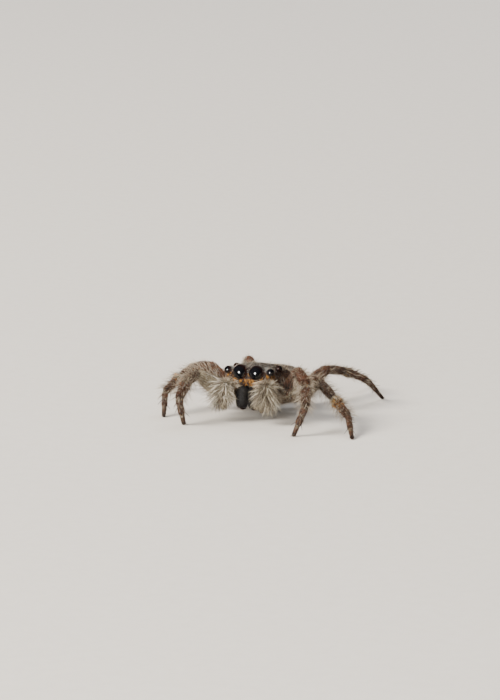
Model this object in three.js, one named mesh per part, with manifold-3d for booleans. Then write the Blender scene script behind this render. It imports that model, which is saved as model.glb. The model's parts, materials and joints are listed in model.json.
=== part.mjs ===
// A jumping spider at life size, standing still on a flat floor. Millimetres, +Z up.
// It faces -Y, its own left side is +X, and the floor is the plane z = 0.
// Each solid goes out to the tips of the hairs that grow on it.
import * as THREE from 'three';
import { mergeVertices } from 'three/addons/utils/BufferGeometryUtils.js';
import Module from 'manifold-3d';

const wasm = await Module();
wasm.setup();

// ---- driving dimensions -------------------------------------------------------------------

const GAP = 0.02; // the thin cut between two neighbours

const BODY_PITCH = 9; // degrees, head up
const BODY_AT = [0, -0.19, 1.32]; // middle of the head and chest above the floor

// Head and chest shell: distance along the body, half width, top and bottom of each section.
const CARAPACE = [
  { y: -1.7, half: 0.8, top: 0.44, bottom: -0.17 },
  { y: -1.62, half: 0.95, top: 0.57, bottom: -0.26 },
  { y: -1.42, half: 1.04, top: 0.65, bottom: -0.3 },
  { y: -1.05, half: 1.11, top: 0.69, bottom: -0.31 },
  { y: -0.55, half: 1.2, top: 0.7, bottom: -0.31 },
  { y: 0, half: 1.3, top: 0.66, bottom: -0.31 },
  { y: 0.5, half: 1.34, top: 0.55, bottom: -0.31 },
  { y: 0.95, half: 1.25, top: 0.38, bottom: -0.31 },
  { y: 1.35, half: 1.02, top: 0.18, bottom: -0.31 },
  { y: 1.62, half: 0.7, top: 0.02, bottom: -0.28 },
  { y: 1.75, half: 0.36, top: -0.08, bottom: -0.2 },
];
const CARAPACE_EDGE = -0.1; // level of the shell's widest line
const CARAPACE_SQUARE = 2.35; // how square a section is, where 2 is an ellipse

const STERNUM = [
  { y: -0.98, half: 0.14, top: -0.42, bottom: -0.62 },
  { y: -0.9, half: 0.26, top: -0.36, bottom: -0.74 },
  { y: -0.6, half: 0.38, top: -0.33, bottom: -0.84 },
  { y: -0.1, half: 0.46, top: -0.33, bottom: -0.88 },
  { y: 0.4, half: 0.42, top: -0.33, bottom: -0.86 },
  { y: 0.8, half: 0.26, top: -0.34, bottom: -0.78 },
  { y: 1.0, half: 0.12, top: -0.42, bottom: -0.62 },
];
const STERNUM_EDGE = -0.6;

const ABDOMEN_AT = [0, 1.66, 0.86];
const ABDOMEN_SWING = 20; // degrees to the animal's own right
const ABDOMEN_DROP = 4; // degrees, tail down
const ABDOMEN = [
  { y: 0, half: 0.26, top: 0.12, bottom: -0.2 },
  { y: 0.12, half: 0.51, top: 0.26, bottom: -0.4 },
  { y: 0.45, half: 0.78, top: 0.36, bottom: -0.58 },
  { y: 0.95, half: 0.94, top: 0.4, bottom: -0.68 },
  { y: 1.55, half: 1.03, top: 0.4, bottom: -0.69 },
  { y: 2.15, half: 1.02, top: 0.37, bottom: -0.66 },
  { y: 2.75, half: 0.91, top: 0.3, bottom: -0.58 },
  { y: 3.3, half: 0.7, top: 0.2, bottom: -0.47 },
  { y: 3.75, half: 0.43, top: 0.08, bottom: -0.34 },
  { y: 3.98, half: 0.22, top: -0.02, bottom: -0.24 },
];
const ABDOMEN_EDGE = -0.08;
const ABDOMEN_SQUARE = 2.15;

const SPINNERET_LENGTH = 0.3;
const SPINNERET_RADIUS = 0.09;

// Eyes: place on the animal's left side in the body's frame, and radius.
const EYES = {
  front_middle: { at: [0.33, -1.62, 0.28], radius: 0.295 },
  front_side: { at: [0.865, -1.55, 0.343], radius: 0.15 },
  small: { at: [0.95, -1.05, 0.4], radius: 0.06 },
  rear: { at: [0.87, -0.57, 0.445], radius: 0.13 },
};

const JAW_ROOT = [0.235, -1.42, -0.3];
const JAW_TIP = [0.27, -1.5, -1.12];
const JAW_HALF_WIDTH = 0.235;
const JAW_HALF_DEPTH = 0.26;
const FANG_LENGTH = 0.26;
const FANG_RADIUS = 0.07;

// The hairy front lobe of a feeler, top to tip, with the radius to the tips of its hairs.
const PALP_LOBE = [
  { at: [0.82, -1.78, 0.03], radius: 0.18 },
  { at: [0.85, -1.88, -0.12], radius: 0.44 },
  { at: [0.87, -1.98, -0.42], radius: 0.62 },
  { at: [0.86, -2.03, -0.76], radius: 0.6 },
  { at: [0.8, -2.05, -1.05], radius: 0.42 },
  { at: [0.75, -2.06, -1.23], radius: 0.16 },
];
const PALP_FLATNESS = 0.74; // depth over width
const PALP_ARM = [
  { at: [0.44, -1.06, -0.62], radius: 0.16 },
  { at: [0.6, -1.35, -0.6], radius: 0.25 },
  { at: [0.82, -1.7, -0.5], radius: 0.3 },
];

// Joints of each leg above the floor: coxa root, hip, knee, shin joint, ankle and foot.
// Leg 1 is the front one. Radii go out to the hair tips.
const LEG_POSES = {
  left_1: [[0.5, -0.92, 0.82], [1.26, -1.1, 0.78], [2.06, -1.75, 2.07],
    [2.64, -2.5, 1.7], [2.88, -3.38, 1.08], [2.58, -3.82, 0]],
  left_2: [[0.6, -0.4, 0.72], [1.34, -0.44, 0.68], [2.58, -0.9, 1.55],
    [3.37, -1.45, 1.05], [4.24, -2.3, 0.59], [4.8, -3.5, 0]],
  left_3: [[0.6, 0.14, 0.63], [1.3, 0.28, 0.58], [2.25, 1.05, 1.62],
    [2.75, 1.62, 1.44], [3.46, 2.35, 0.99], [3.74, 3.44, 0]],
  left_4: [[0.44, 0.66, 0.56], [1.02, 1.0, 0.5], [1.76, 2.2, 1.3],
    [2.16, 3.0, 1.12], [2.52, 3.95, 0.8], [2.6, 5.4, 0]],
  right_1: [[-0.5, -0.92, 0.82], [-1.26, -1.1, 0.78], [-2.0, -2.0, 1.78],
    [-2.15, -2.76, 1.55], [-2.18, -3.54, 1.06], [-2.03, -3.42, 0]],
  right_2: [[-0.6, -0.4, 0.72], [-1.34, -0.44, 0.68], [-2.42, -0.5, 1.6],
    [-3.08, -0.95, 1.34], [-3.4, -1.84, 0.86], [-3.24, -2.42, 0]],
  right_3: [[-0.6, 0.14, 0.63], [-1.3, 0.28, 0.58], [-2.5, 0.8, 1.47],
    [-3.2, 1.1, 1.33], [-4.0, 1.6, 0.85], [-4.45, 2.85, 0]],
  right_4: [[-0.44, 0.66, 0.56], [-1.02, 1.0, 0.5], [-1.41, 2.3, 1.45],
    [-1.78, 3.08, 1.24], [-2.1, 4.0, 0.86], [-2.2, 5.37, 0]],
};
const LEG_SIZE = { 1: 1.08, 2: 1, 3: 0.95, 4: 1 };

// Each segment: the radius where it starts, and its sections as fraction along and radius.
const SEGMENTS = [
  { name: 'coxa', start: 0.24, sections: [[0.35, 0.27], [0.7, 0.28]] },
  { name: 'femur', start: 0.25, sections: [[0.28, 0.31], [0.5, 0.345], [0.76, 0.32]] },
  { name: 'patella', start: 0.26, sections: [[0.36, 0.3], [0.7, 0.295]] },
  { name: 'tibia', start: 0.245, sections: [[0.25, 0.275], [0.5, 0.28], [0.78, 0.26]] },
  { name: 'foot', start: 0.235, sections: [[0.24, 0.245], [0.48, 0.24], [0.72, 0.24]] },
];
const FOOT_FLAT = 0.19; // radius of the flat under each foot
const FOOT_CLEARANCE = 0.03; // least height of a foot's own sections above the floor
const LEG_SIDES = 10;

// ---- finishes -----------------------------------------------------------------------------

const finish = (color, roughness) => () =>
  new THREE.MeshStandardMaterial({ color, roughness, metalness: 0 });

const greyCoat = finish(0x8a7f74, 0.85);
const legCoat = finish(0x77604f, 0.8);
const creamHair = finish(0xd3c8b0, 0.9);
const blackShell = finish(0x17130f, 0.3);
const eyeLens = finish(0x0c0908, 0.05);

// ---- closed surfaces through rings --------------------------------------------------------

const radians = THREE.MathUtils.degToRad;
const vector = (list) => new THREE.Vector3(...list);

function signedPower(value, power) {
  return Math.sign(value) * Math.abs(value) ** power;
}

function volumeOf(points, faces) {
  const cross = new THREE.Vector3();
  let sum = 0;
  for (const [a, b, c] of faces) {
    sum += cross.crossVectors(points[b], points[c]).dot(points[a]);
  }
  return sum / 6;
}

// Joins rings of equally many points into one closed body, with a fan at both ends.
function skinRings(rings) {
  const sides = rings[0].length;
  const points = rings.flat();
  const faces = [];
  for (let ring = 0; ring + 1 < rings.length; ring += 1) {
    for (let side = 0; side < sides; side += 1) {
      const next = (side + 1) % sides;
      const low = ring * sides;
      const high = low + sides;
      faces.push([low + side, low + next, high + next]);
      faces.push([low + side, high + next, high + side]);
    }
  }
  for (const [start, turned] of [[0, true], [(rings.length - 1) * sides, false]]) {
    const centre = new THREE.Vector3();
    for (let side = 0; side < sides; side += 1) centre.add(points[start + side]);
    points.push(centre.divideScalar(sides));
    for (let side = 0; side < sides; side += 1) {
      const pair = [start + side, start + ((side + 1) % sides)];
      if (turned) pair.reverse();
      faces.push([...pair, points.length - 1]);
    }
  }
  if (volumeOf(points, faces) < 0) faces.forEach((face) => face.reverse());
  const geometry = new THREE.BufferGeometry().setFromPoints(points);
  geometry.setIndex(faces.flat());
  return geometry;
}

// A body along Y whose sections are rounded boxes that are widest at the level `edge`.
function bodyLoft(sections, edge, square, sides) {
  const rings = sections.map(({ y, half, top, bottom }) => {
    const level = THREE.MathUtils.clamp(edge, bottom + 0.03, top - 0.03);
    return Array.from({ length: sides }, (_, side) => {
      const angle = (side / sides) * 2 * Math.PI;
      const height = Math.sin(angle) > 0 ? top - level : level - bottom;
      const x = half * signedPower(Math.cos(angle), 2 / square);
      return new THREE.Vector3(x, y, level + height * signedPower(Math.sin(angle), 2 / square));
    });
  });
  return skinRings(rings);
}

// A circle of points round `centre`, square to `normal`, that starts towards `side`.
function circle(centre, normal, side, radius, sides) {
  const across = side.clone().addScaledVector(normal, -side.dot(normal)).normalize();
  const up = new THREE.Vector3().crossVectors(normal, across);
  return Array.from({ length: sides }, (_, index) => {
    const angle = (index / sides) * 2 * Math.PI;
    return centre.clone()
      .addScaledVector(across, radius * Math.cos(angle))
      .addScaledVector(up, radius * Math.sin(angle));
  });
}

// A round lobe through stations that each have a place and a radius.
function lobe(stations, side, sides) {
  const places = stations.map(({ at }) => vector(at));
  const last = places.length - 1;
  const rings = stations.map(({ radius }, index) => {
    const before = places[Math.max(index - 1, 0)];
    const after = places[Math.min(index + 1, last)];
    const normal = new THREE.Vector3().subVectors(after, before).normalize();
    return circle(places[index], normal, side, radius, sides);
  });
  return skinRings(rings);
}

// Narrows a body in X and Y about a place on it.
function squeeze(geometry, [x, y], [factorX, factorY]) {
  geometry.translate(-x, -y, 0).scale(factorX, factorY, 1).translate(x, y, 0);
}

// ---- joining and cutting ------------------------------------------------------------------

function toSolid(geometry) {
  const bare = geometry.clone();
  bare.deleteAttribute('normal');
  bare.deleteAttribute('uv');
  const merged = mergeVertices(bare, 1e-5);
  const vertProperties = new Float32Array(merged.attributes.position.array);
  const triVerts = new Uint32Array(merged.index.array);
  return new wasm.Manifold(new wasm.Mesh({ numProp: 3, vertProperties, triVerts }));
}

function toGeometry(solid) {
  const { vertProperties, triVerts } = solid.getMesh();
  const geometry = new THREE.BufferGeometry();
  geometry.setAttribute('position', new THREE.BufferAttribute(vertProperties, 3));
  geometry.setIndex(new THREE.BufferAttribute(triVerts, 1));
  return geometry;
}

// The same body with its surface moved out by the thin cut.
function swollen(geometry) {
  const grown = geometry.clone();
  grown.computeVertexNormals();
  const { position, normal } = grown.attributes;
  for (let index = 0; index < position.count; index += 1) {
    position.setXYZ(
      index,
      position.getX(index) + GAP * normal.getX(index),
      position.getY(index) + GAP * normal.getY(index),
      position.getZ(index) + GAP * normal.getZ(index),
    );
  }
  return grown;
}

function trimmed(geometry, neighbours) {
  const cut = (solid, neighbour) => solid.subtract(toSolid(swollen(neighbour)));
  return toGeometry(neighbours.reduce(cut, toSolid(geometry)));
}

function joined(first, second) {
  return toGeometry(toSolid(first).add(toSolid(second)));
}

// ---- the model ----------------------------------------------------------------------------

const spider = new THREE.Group();
const body = new THREE.Group();
body.rotation.x = -radians(BODY_PITCH);
body.position.set(...BODY_AT);
body.updateMatrixWorld();
spider.add(body);

function addPiece(parent, name, geometry, material) {
  const piece = new THREE.Mesh(geometry, material());
  piece.name = name;
  parent.add(piece);
  return piece;
}

const mirrorX = new THREE.Matrix4().makeScale(-1, 1, 1);

// The same body on the animal's right side, with its faces turned to point out again.
function mirrored(geometry) {
  const copy = geometry.clone().applyMatrix4(mirrorX);
  const { array } = copy.index;
  for (let corner = 0; corner < array.length; corner += 3) {
    [array[corner], array[corner + 1]] = [array[corner + 1], array[corner]];
  }
  return copy;
}

// Eyes sit as whole balls in sockets that the head leaves open.
const eyeBall = ({ at, radius }, detail) =>
  mergeVertices(new THREE.SphereGeometry(radius, 2 * detail, detail)
    .deleteAttribute('normal').deleteAttribute('uv')).translate(...at);

const leftEyes = Object.entries(EYES).map(([name, eye]) => {
  const detail = eye.radius > 0.2 ? 8 : 6;
  return { name, geometry: eyeBall(eye, detail) };
});
for (const { name, geometry } of leftEyes) {
  addPiece(body, `eye_${name}_left`, geometry, eyeLens);
  addPiece(body, `eye_${name}_right`, mirrored(geometry), eyeLens);
}

// Head and chest under one shell.
const shell = bodyLoft(CARAPACE, CARAPACE_EDGE, CARAPACE_SQUARE, 28);
const allEyes = leftEyes.flatMap(({ geometry }) => [geometry, mirrored(geometry)]);
const carapace = trimmed(shell, allEyes);
addPiece(body, 'carapace', carapace, greyCoat);

const sternum = bodyLoft(STERNUM, STERNUM_EDGE, 2, 14);
addPiece(body, 'sternum', sternum, legCoat);

// Jaws hang under the face, and each carries a fang folded across its tip.
const sideways = new THREE.Vector3(1, 0, 0);
const jawStations = [[0, 0.7], [0.12, 0.96], [0.45, 1], [0.8, 0.86], [1, 0.55]];
const jawBlank = lobe(
  jawStations.map(([along, size]) => ({
    at: vector(JAW_ROOT).lerp(vector(JAW_TIP), along).toArray(),
    radius: size * JAW_HALF_DEPTH,
  })),
  sideways,
  12,
);
squeeze(jawBlank, JAW_ROOT, [JAW_HALF_WIDTH / JAW_HALF_DEPTH, 1]);
const jaw = trimmed(jawBlank, [carapace]);

const fangBend = new THREE.QuadraticBezierCurve3(
  new THREE.Vector3(JAW_TIP[0] + 0.06, JAW_TIP[1] - 0.04, JAW_TIP[2] - 0.01),
  new THREE.Vector3(JAW_TIP[0] - 0.02, JAW_TIP[1] + 0.02, JAW_TIP[2] - 0.1),
  new THREE.Vector3(JAW_TIP[0] - 0.14, JAW_TIP[1] + FANG_LENGTH / 2, JAW_TIP[2] - 0.06),
);
const fangBlank = lobe(
  [0, 0.35, 0.7, 1].map((along) => ({
    at: fangBend.getPoint(along).toArray(),
    radius: FANG_RADIUS * (1 - 0.7 * along),
  })),
  new THREE.Vector3(0, 0, 1),
  8,
);
const fang = trimmed(fangBlank, [jaw]);

// Feelers: a short arm beside the jaw and the hairy lobe in front of it.
const palpLobe = lobe(PALP_LOBE, sideways, 14);
squeeze(palpLobe, PALP_LOBE[2].at, [1, PALP_FLATNESS]);
const palpBlank = joined(palpLobe, lobe(PALP_ARM, sideways, 10));
const palp = trimmed(palpBlank, [jaw, fang, carapace, sternum, ...allEyes.slice(0, 4)]);

for (const [name, geometry, material] of [
  ['chelicera', jaw, blackShell],
  ['fang', fang, blackShell],
  ['palp', palp, creamHair],
]) {
  addPiece(body, `${name}_left`, geometry, material);
  addPiece(body, `${name}_right`, mirrored(geometry), material);
}

// Abdomen, swung a little to one side behind its narrow waist.
const rear = new THREE.Group();
rear.rotation.set(-radians(ABDOMEN_DROP), 0, radians(ABDOMEN_SWING), 'ZXY');
rear.position.set(...ABDOMEN_AT);
rear.updateMatrixWorld();
spider.add(rear);

const abdomen = bodyLoft(ABDOMEN, ABDOMEN_EDGE, ABDOMEN_SQUARE, 24);
addPiece(rear, 'abdomen', abdomen, greyCoat);

const tail = ABDOMEN[ABDOMEN.length - 1];
const tailLevel = (tail.top + tail.bottom) / 2;
const spinneret = (x, z) => lobe(
  [[-0.12, 1], [0.1, 1], [0.75, 0.8], [1, 0.45]].map(([along, size]) => ({
    at: [x * (1 + 0.6 * along), tail.y + along * SPINNERET_LENGTH, tailLevel + z],
    radius: size * SPINNERET_RADIUS,
  })),
  sideways,
  8,
);
const spinnerets = trimmed(
  [[0.075, 0.05], [-0.075, -0.06], [0.075, -0.06]].reduce(
    (cluster, [x, z]) => joined(cluster, spinneret(x, z)),
    spinneret(-0.075, 0.05),
  ),
  [abdomen],
);
addPiece(rear, 'spinnerets', spinnerets, legCoat);

const shellInWorld = carapace.clone().applyMatrix4(body.matrixWorld);
const sternumInWorld = sternum.clone().applyMatrix4(body.matrixWorld);
const abdomenInWorld = abdomen.clone().applyMatrix4(rear.matrixWorld);
const palpsInWorld = [palp, mirrored(palp)].map((geometry) =>
  geometry.clone().applyMatrix4(body.matrixWorld));

const waist = lobe(
  [
    { at: [0, 1.3, 0.93], radius: 0.16 },
    { at: [0, 1.5, 0.92], radius: 0.15 },
    { at: [-0.03, 1.8, 0.88], radius: 0.16 },
  ],
  sideways,
  10,
);
const pedicel = trimmed(waist, [shellInWorld, abdomenInWorld]);
addPiece(spider, 'pedicel', pedicel, legCoat);

// Legs: rings stand square to each segment, and on the half angle at each joint, where a
// thin cut parts one segment from the next. The last ring lies flat on the floor.
const down = new THREE.Vector3(0, 0, -1);

function legSegments(joints, size) {
  const hipToFoot = new THREE.Vector3().subVectors(joints[5], joints[1]);
  const side = new THREE.Vector3().crossVectors(down, hipToFoot).normalize();
  const along = joints.slice(1).map((joint, index) =>
    new THREE.Vector3().subVectors(joint, joints[index]).normalize());
  const mitre = (index) => {
    const before = along[Math.max(index - 1, 0)];
    const after = along[Math.min(index, 4)];
    return new THREE.Vector3().addVectors(before, after).normalize();
  };
  return SEGMENTS.map(({ name, start, sections }, index) => {
    const from = joints[index];
    const to = joints[index + 1];
    const isFoot = index === 4;
    const level = Math.hypot(along[index].x, along[index].y);
    const clear = (radius, centre) =>
      (isFoot ? Math.min(radius, (centre.z - FOOT_CLEARANCE) / level) : radius);
    const end = isFoot ? FOOT_FLAT : SEGMENTS[index + 1].start;
    const startNormal = mitre(index);
    const endNormal = isFoot ? down : mitre(index + 1);
    const startAt = from.clone().addScaledVector(startNormal, index > 0 ? GAP / 2 : 0);
    const endAt = isFoot ? to : to.clone().addScaledVector(endNormal, -GAP / 2);
    const rings = [
      circle(startAt, startNormal, side, start * size, LEG_SIDES),
      ...sections.map(([fraction, radius]) => {
        const centre = from.clone().lerp(to, fraction);
        return circle(centre, along[index], side, clear(radius * size, centre), LEG_SIDES);
      }),
      circle(endAt, endNormal, side, isFoot ? end : end * size, LEG_SIDES),
    ];
    return { name, geometry: skinRings(rings) };
  });
}

for (const [leg, places] of Object.entries(LEG_POSES)) {
  const size = LEG_SIZE[leg.slice(-1)];
  for (const { name, geometry } of legSegments(places.map(vector), size)) {
    const shape = name === 'coxa'
      ? trimmed(geometry, [shellInWorld, sternumInWorld, ...palpsInWorld])
      : geometry;
    addPiece(spider, `leg_${leg}_${name}`, shape, legCoat);
  }
}

// The origin is on the floor, under the middle of the whole model.
const bounds = new THREE.Box3().setFromObject(spider);
const middle = bounds.getCenter(new THREE.Vector3());
spider.position.set(-middle.x, -middle.y, 0);

const group = new THREE.Group();
group.add(spider);

export default group;
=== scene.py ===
"""A still, life-size jumping spider: one skin, a coat of solid tufts, eyes, jaws and claws.

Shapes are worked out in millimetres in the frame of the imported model, and each finished
mesh is turned into metres at the end. The spider faces -Y and its own left side is +X.
"""

import json
import math

import bpy
import numpy as np
from mathutils import Matrix, Vector

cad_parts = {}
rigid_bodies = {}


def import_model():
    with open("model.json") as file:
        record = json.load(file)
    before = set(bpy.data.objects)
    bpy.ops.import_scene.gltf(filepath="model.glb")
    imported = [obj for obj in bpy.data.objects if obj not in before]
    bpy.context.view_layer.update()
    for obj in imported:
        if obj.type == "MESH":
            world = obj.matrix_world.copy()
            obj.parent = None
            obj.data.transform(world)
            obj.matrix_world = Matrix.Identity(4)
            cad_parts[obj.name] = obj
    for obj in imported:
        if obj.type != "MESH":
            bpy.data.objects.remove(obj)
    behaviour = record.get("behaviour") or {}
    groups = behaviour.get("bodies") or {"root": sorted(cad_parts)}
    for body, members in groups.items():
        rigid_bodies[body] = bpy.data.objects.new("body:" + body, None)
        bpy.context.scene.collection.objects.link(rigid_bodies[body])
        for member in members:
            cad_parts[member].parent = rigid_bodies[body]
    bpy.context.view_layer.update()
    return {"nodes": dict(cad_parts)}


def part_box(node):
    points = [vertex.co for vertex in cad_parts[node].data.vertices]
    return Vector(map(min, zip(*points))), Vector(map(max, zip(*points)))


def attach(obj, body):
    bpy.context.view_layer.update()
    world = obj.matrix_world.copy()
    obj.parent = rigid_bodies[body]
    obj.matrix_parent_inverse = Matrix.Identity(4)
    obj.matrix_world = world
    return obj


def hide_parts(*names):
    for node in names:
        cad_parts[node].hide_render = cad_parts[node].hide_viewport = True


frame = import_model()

# ---- sizes and places ---------------------------------------------------------------------

MM = 0.001
VOXEL = 0.036  # grain of the skin mesh
SMOOTHING = 4
# How finely shapes are drawn: rows along each and points round it.
TRUNK_ROWS, TRUNK_SIDES = 40, 48
LIMB_ROWS, LIMB_SIDES = 14, 20
JAW_ROWS, JAW_SIDES = 26, 36
LENS_ROWS, LENS_SIDES = 26, 40
RIM_STEPS, RIM_SIDES = 48, 10

BODY_PITCH = 9  # degrees, head up
ABDOMEN_BEHIND = (0, 1.85, -0.46)  # waist, from the middle of the head and chest
ABDOMEN_SWING = 20  # degrees, to its right
ABDOMEN_DROP = 4  # degrees, rear end down

EYES = {
    # name: place in the body's frame, radius, way it looks
    "front_middle": ((0.33, -1.62, 0.28), 0.295, (0.06, -1, 0.02)),
    "front_side": ((0.865, -1.55, 0.343), 0.15, (0.36, -0.93, 0.06)),
    "small": ((0.95, -1.05, 0.4), 0.06, (0.9, -0.2, 0.5)),
    "rear": ((0.87, -0.57, 0.445), 0.13, (0.9, 0.12, 0.5)),
}

# Head and chest: distance along the body, half width, top and bottom of the bare skin.
CHEST = [
    (-1.67, 0.6, 0.33, -0.08),
    (-1.64, 0.76, 0.43, -0.14),
    (-1.55, 0.91, 0.53, -0.19),
    (-1.3, 1.0, 0.6, -0.23),
    (-0.95, 1.06, 0.62, -0.25),
    (-0.5, 1.14, 0.62, -0.26),
    (0.0, 1.23, 0.585, -0.26),
    (0.45, 1.27, 0.49, -0.26),
    (0.9, 1.18, 0.32, -0.26),
    (1.3, 0.95, 0.13, -0.26),
    (1.55, 0.66, -0.02, -0.24),
    (1.68, 0.36, -0.1, -0.19),
]
STERNUM = [
    (-0.92, 0.1, -0.25, -0.56),
    (-0.85, 0.2, -0.2, -0.67),
    (-0.6, 0.32, -0.2, -0.77),
    (-0.1, 0.4, -0.2, -0.81),
    (0.4, 0.36, -0.2, -0.79),
    (0.8, 0.2, -0.2, -0.71),
    (0.94, 0.08, -0.25, -0.58),
]
ABDOMEN = [
    (0.05, 0.18, 0.04, -0.12),
    (0.14, 0.41, 0.18, -0.32),
    (0.45, 0.7, 0.29, -0.5),
    (0.95, 0.86, 0.33, -0.6),
    (1.55, 0.95, 0.33, -0.61),
    (2.15, 0.94, 0.3, -0.58),
    (2.75, 0.83, 0.23, -0.5),
    (3.3, 0.62, 0.14, -0.39),
    (3.72, 0.37, 0.02, -0.27),
    (3.92, 0.18, -0.06, -0.19),
]

# The waist, from a place in the body's frame to one in the abdomen's.
WAIST_FRONT, WAIST_REAR, WAIST_RADIUS = (0, 1.5, -0.2), (0, 0.3, -0.05), 0.12
# Spinnerets in the abdomen's frame: across and up, then where each one starts and ends.
SPINNERETS = ((0.075, -0.06), (-0.075, -0.06), (0.07, -0.18), (-0.07, -0.18))
SPINNERET_FROM, SPINNERET_TO, SPINNERET_RADIUS = 3.8, 4.2, 0.07
# The left one of the two lobes that lie beside the mouth, in the body's frame.
MOUTH_LOBE, MOUTH_LOBE_RADIUS = [(0.33, -1.0, -0.62), (0.16, -1.26, -0.86)], 0.15

# Limb segments: fraction along, share of the radius.
FEMUR = [(0, 0.62), (0.08, 0.82), (0.3, 1.05), (0.6, 1.0), (0.85, 0.84), (0.97, 0.72), (1, 0.5)]
PATELLA = [(0, 0.6), (0.12, 0.9), (0.5, 1.08), (0.86, 1.0), (1, 0.66)]
TIBIA = [(0, 0.62), (0.1, 0.92), (0.4, 1.06), (0.8, 0.96), (0.95, 0.88), (1, 0.6)]
METATARSUS = [(0, 0.75), (0.1, 1.06), (0.5, 0.93), (0.88, 1.0), (1, 0.78)]
TARSUS = [(0, 0.84), (0.15, 1.02), (0.6, 0.95), (0.9, 0.85), (1, 0.55)]
COXA = [(0, 0.9), (0.25, 1.05), (0.6, 1.0), (0.75, 0.86), (0.9, 0.95), (1, 0.7)]
LEG_RADII = {
    # leg: coxa, femur, patella, tibia, metatarsus, tarsus
    1: (0.21, 0.26, 0.19, 0.18, 0.14, 0.1),
    2: (0.2, 0.24, 0.17, 0.158, 0.122, 0.092),
    3: (0.18, 0.205, 0.15, 0.135, 0.1, 0.08),
    4: (0.19, 0.22, 0.155, 0.14, 0.1, 0.08),
}
TARSUS_SHARE = 0.4  # of the foot's length
SOLE = 0.05  # height of the tarsus tip, which the claw tuft fills
FLOOR_HAIR = 0.04  # height below which hair tips bend to lie on the floor
TO_METRES = Matrix.Scale(MM, 4)

# Feeler joints in the body's frame, on the left side, and the radius of each segment.
PALP = [
    (0.44, -1.02, -0.58), (0.65, -1.46, -0.5), (0.82, -1.84, -0.16),
    (0.87, -2.0, -0.4), (0.87, -2.07, -0.68), (0.79, -2.07, -1.03),
]
PALP_RADII = (0.12, 0.115, 0.12, 0.13, 0.14)

FACE_REAR = -0.75  # along the body, where the denser hair of the face ends

JAW_ROOT = (0.232, -1.4, -0.22)
JAW_TIP = (0.25, -1.49, -1.08)
JAW_HALF_WIDTH = 0.226
JAW_HALF_DEPTH = 0.24
FANG_RADIUS = 0.06
CLAW_REACH, CLAW_RADIUS = 0.125, 0.016
CLAW_APART = 0.03  # from the middle of a foot to the root of each of its two claws
SPINE_LENGTH, SPINE_RADIUS = 0.3, 0.013
PATELLA_SPINE_LENGTH = 0.2

# ---- small geometry helpers ---------------------------------------------------------------


def unit(vectors):
    lengths = np.linalg.norm(vectors, axis=-1, keepdims=True)
    return vectors / np.maximum(lengths, 1e-9)


def turn(axis, degrees):
    return np.array(Matrix.Rotation(math.radians(degrees), 3, axis))


def spline(rows, count):
    """Rows resampled on a smooth curve through them, closer together at both ends."""
    rows = np.array(rows, float)
    last = len(rows) - 1
    ends = np.vstack([2 * rows[0] - rows[1], rows, 2 * rows[-1] - rows[-2]])
    place = last * (1 - np.cos(np.linspace(0, math.pi, count))) / 2
    step = np.minimum(place.astype(int), last - 1)
    t = (place - step)[:, None]
    a, b, c, d = (ends[step + k] for k in range(4))
    return b + t / 2 * (c - a + t * (2 * a - 5 * b + 4 * c - d + t * (3 * (b - c) + d - a)))


def quads(rings, sides, closed=False):
    """Faces between rings of equally many points, and from the last to the first if closed."""
    faces = []
    for ring in range(rings if closed else rings - 1):
        low, high = ring * sides, (ring + 1) % rings * sides
        for side in range(sides):
            near = (side + 1) % sides
            faces.append((low + side, low + near, high + near, high + side))
    return faces


def outward(points, faces):
    """The faces, all turned round if they point into the shape."""
    middle = points.mean(0)
    volume = sum(
        np.dot(points[f[0]] - middle, np.cross(points[f[1]] - middle, points[f[2]] - middle))
        for f in faces
    )
    return faces if volume > 0 else [face[::-1] for face in faces]


def loft(rings):
    """One closed mesh through rings of equally many points, as points and faces."""
    rings = np.asarray(rings)
    count, sides = rings.shape[:2]
    points = np.array([*rings.reshape(-1, 3), rings[0].mean(0), rings[-1].mean(0)])
    faces = quads(count, sides)
    first, last = len(points) - 2, len(points) - 1
    for side in range(sides):
        near = (side + 1) % sides
        faces.append((near, side, first))
        faces.append((first - sides + side, first - sides + near, last))
    return points, outward(points, faces)


def joined(shapes):
    """Several (points, faces) as one."""
    points, faces, start = [], [], 0
    for shape_points, shape_faces in shapes:
        points.append(shape_points)
        faces += [tuple(corner + start for corner in face) for face in shape_faces]
        start += len(shape_points)
    return np.vstack(points), faces


def mesh_object(name, points, faces):
    mesh = bpy.data.meshes.new(name)
    mesh.from_pydata(np.asarray(points).tolist(), [], [tuple(map(int, f)) for f in faces])
    mesh.shade_smooth()
    thing = bpy.data.objects.new(name, mesh)
    bpy.context.scene.collection.objects.link(thing)
    return thing


def read_points(mesh):
    points = np.empty(len(mesh.vertices) * 3)
    mesh.vertices.foreach_get("co", points)
    return points.reshape(-1, 3)


def plain_mesh(thing, name):
    """The object as its modifiers leave it, as a plain mesh, with the modifiers gone."""
    depsgraph = bpy.context.evaluated_depsgraph_get()
    mesh = bpy.data.meshes.new_from_object(
        thing.evaluated_get(depsgraph), preserve_all_data_layers=True, depsgraph=depsgraph
    )
    thing.modifiers.clear()
    thing.data = mesh
    thing.name = mesh.name = name
    return mesh


def circle_of(centre, normal, side, radius, sides, depth=1.0):
    """A ring round `centre`, square to `normal`, that starts towards `side`."""
    across = unit(side - normal * np.dot(side, normal))
    up = np.cross(normal, across) * depth
    angles = np.linspace(0, 2 * math.pi, sides, endpoint=False)[:, None]
    return centre + radius * (np.cos(angles) * across + np.sin(angles) * up)


def ball(centre, radius, sides, rows, axis=(0, 0, 1)):
    """A closed ball, with its poles along `axis`."""
    axis = unit(np.array(axis, float))
    side = unit(np.cross(axis, (0.3, 0.8, 0.52)))
    rings = []
    for row in range(rows):
        tilt = math.pi * (row + 0.6) / (rows + 0.2)
        middle = centre + axis * radius * math.cos(tilt)
        rings.append(circle_of(middle, axis, side, radius * math.sin(tilt), sides))
    return loft(rings)


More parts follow.
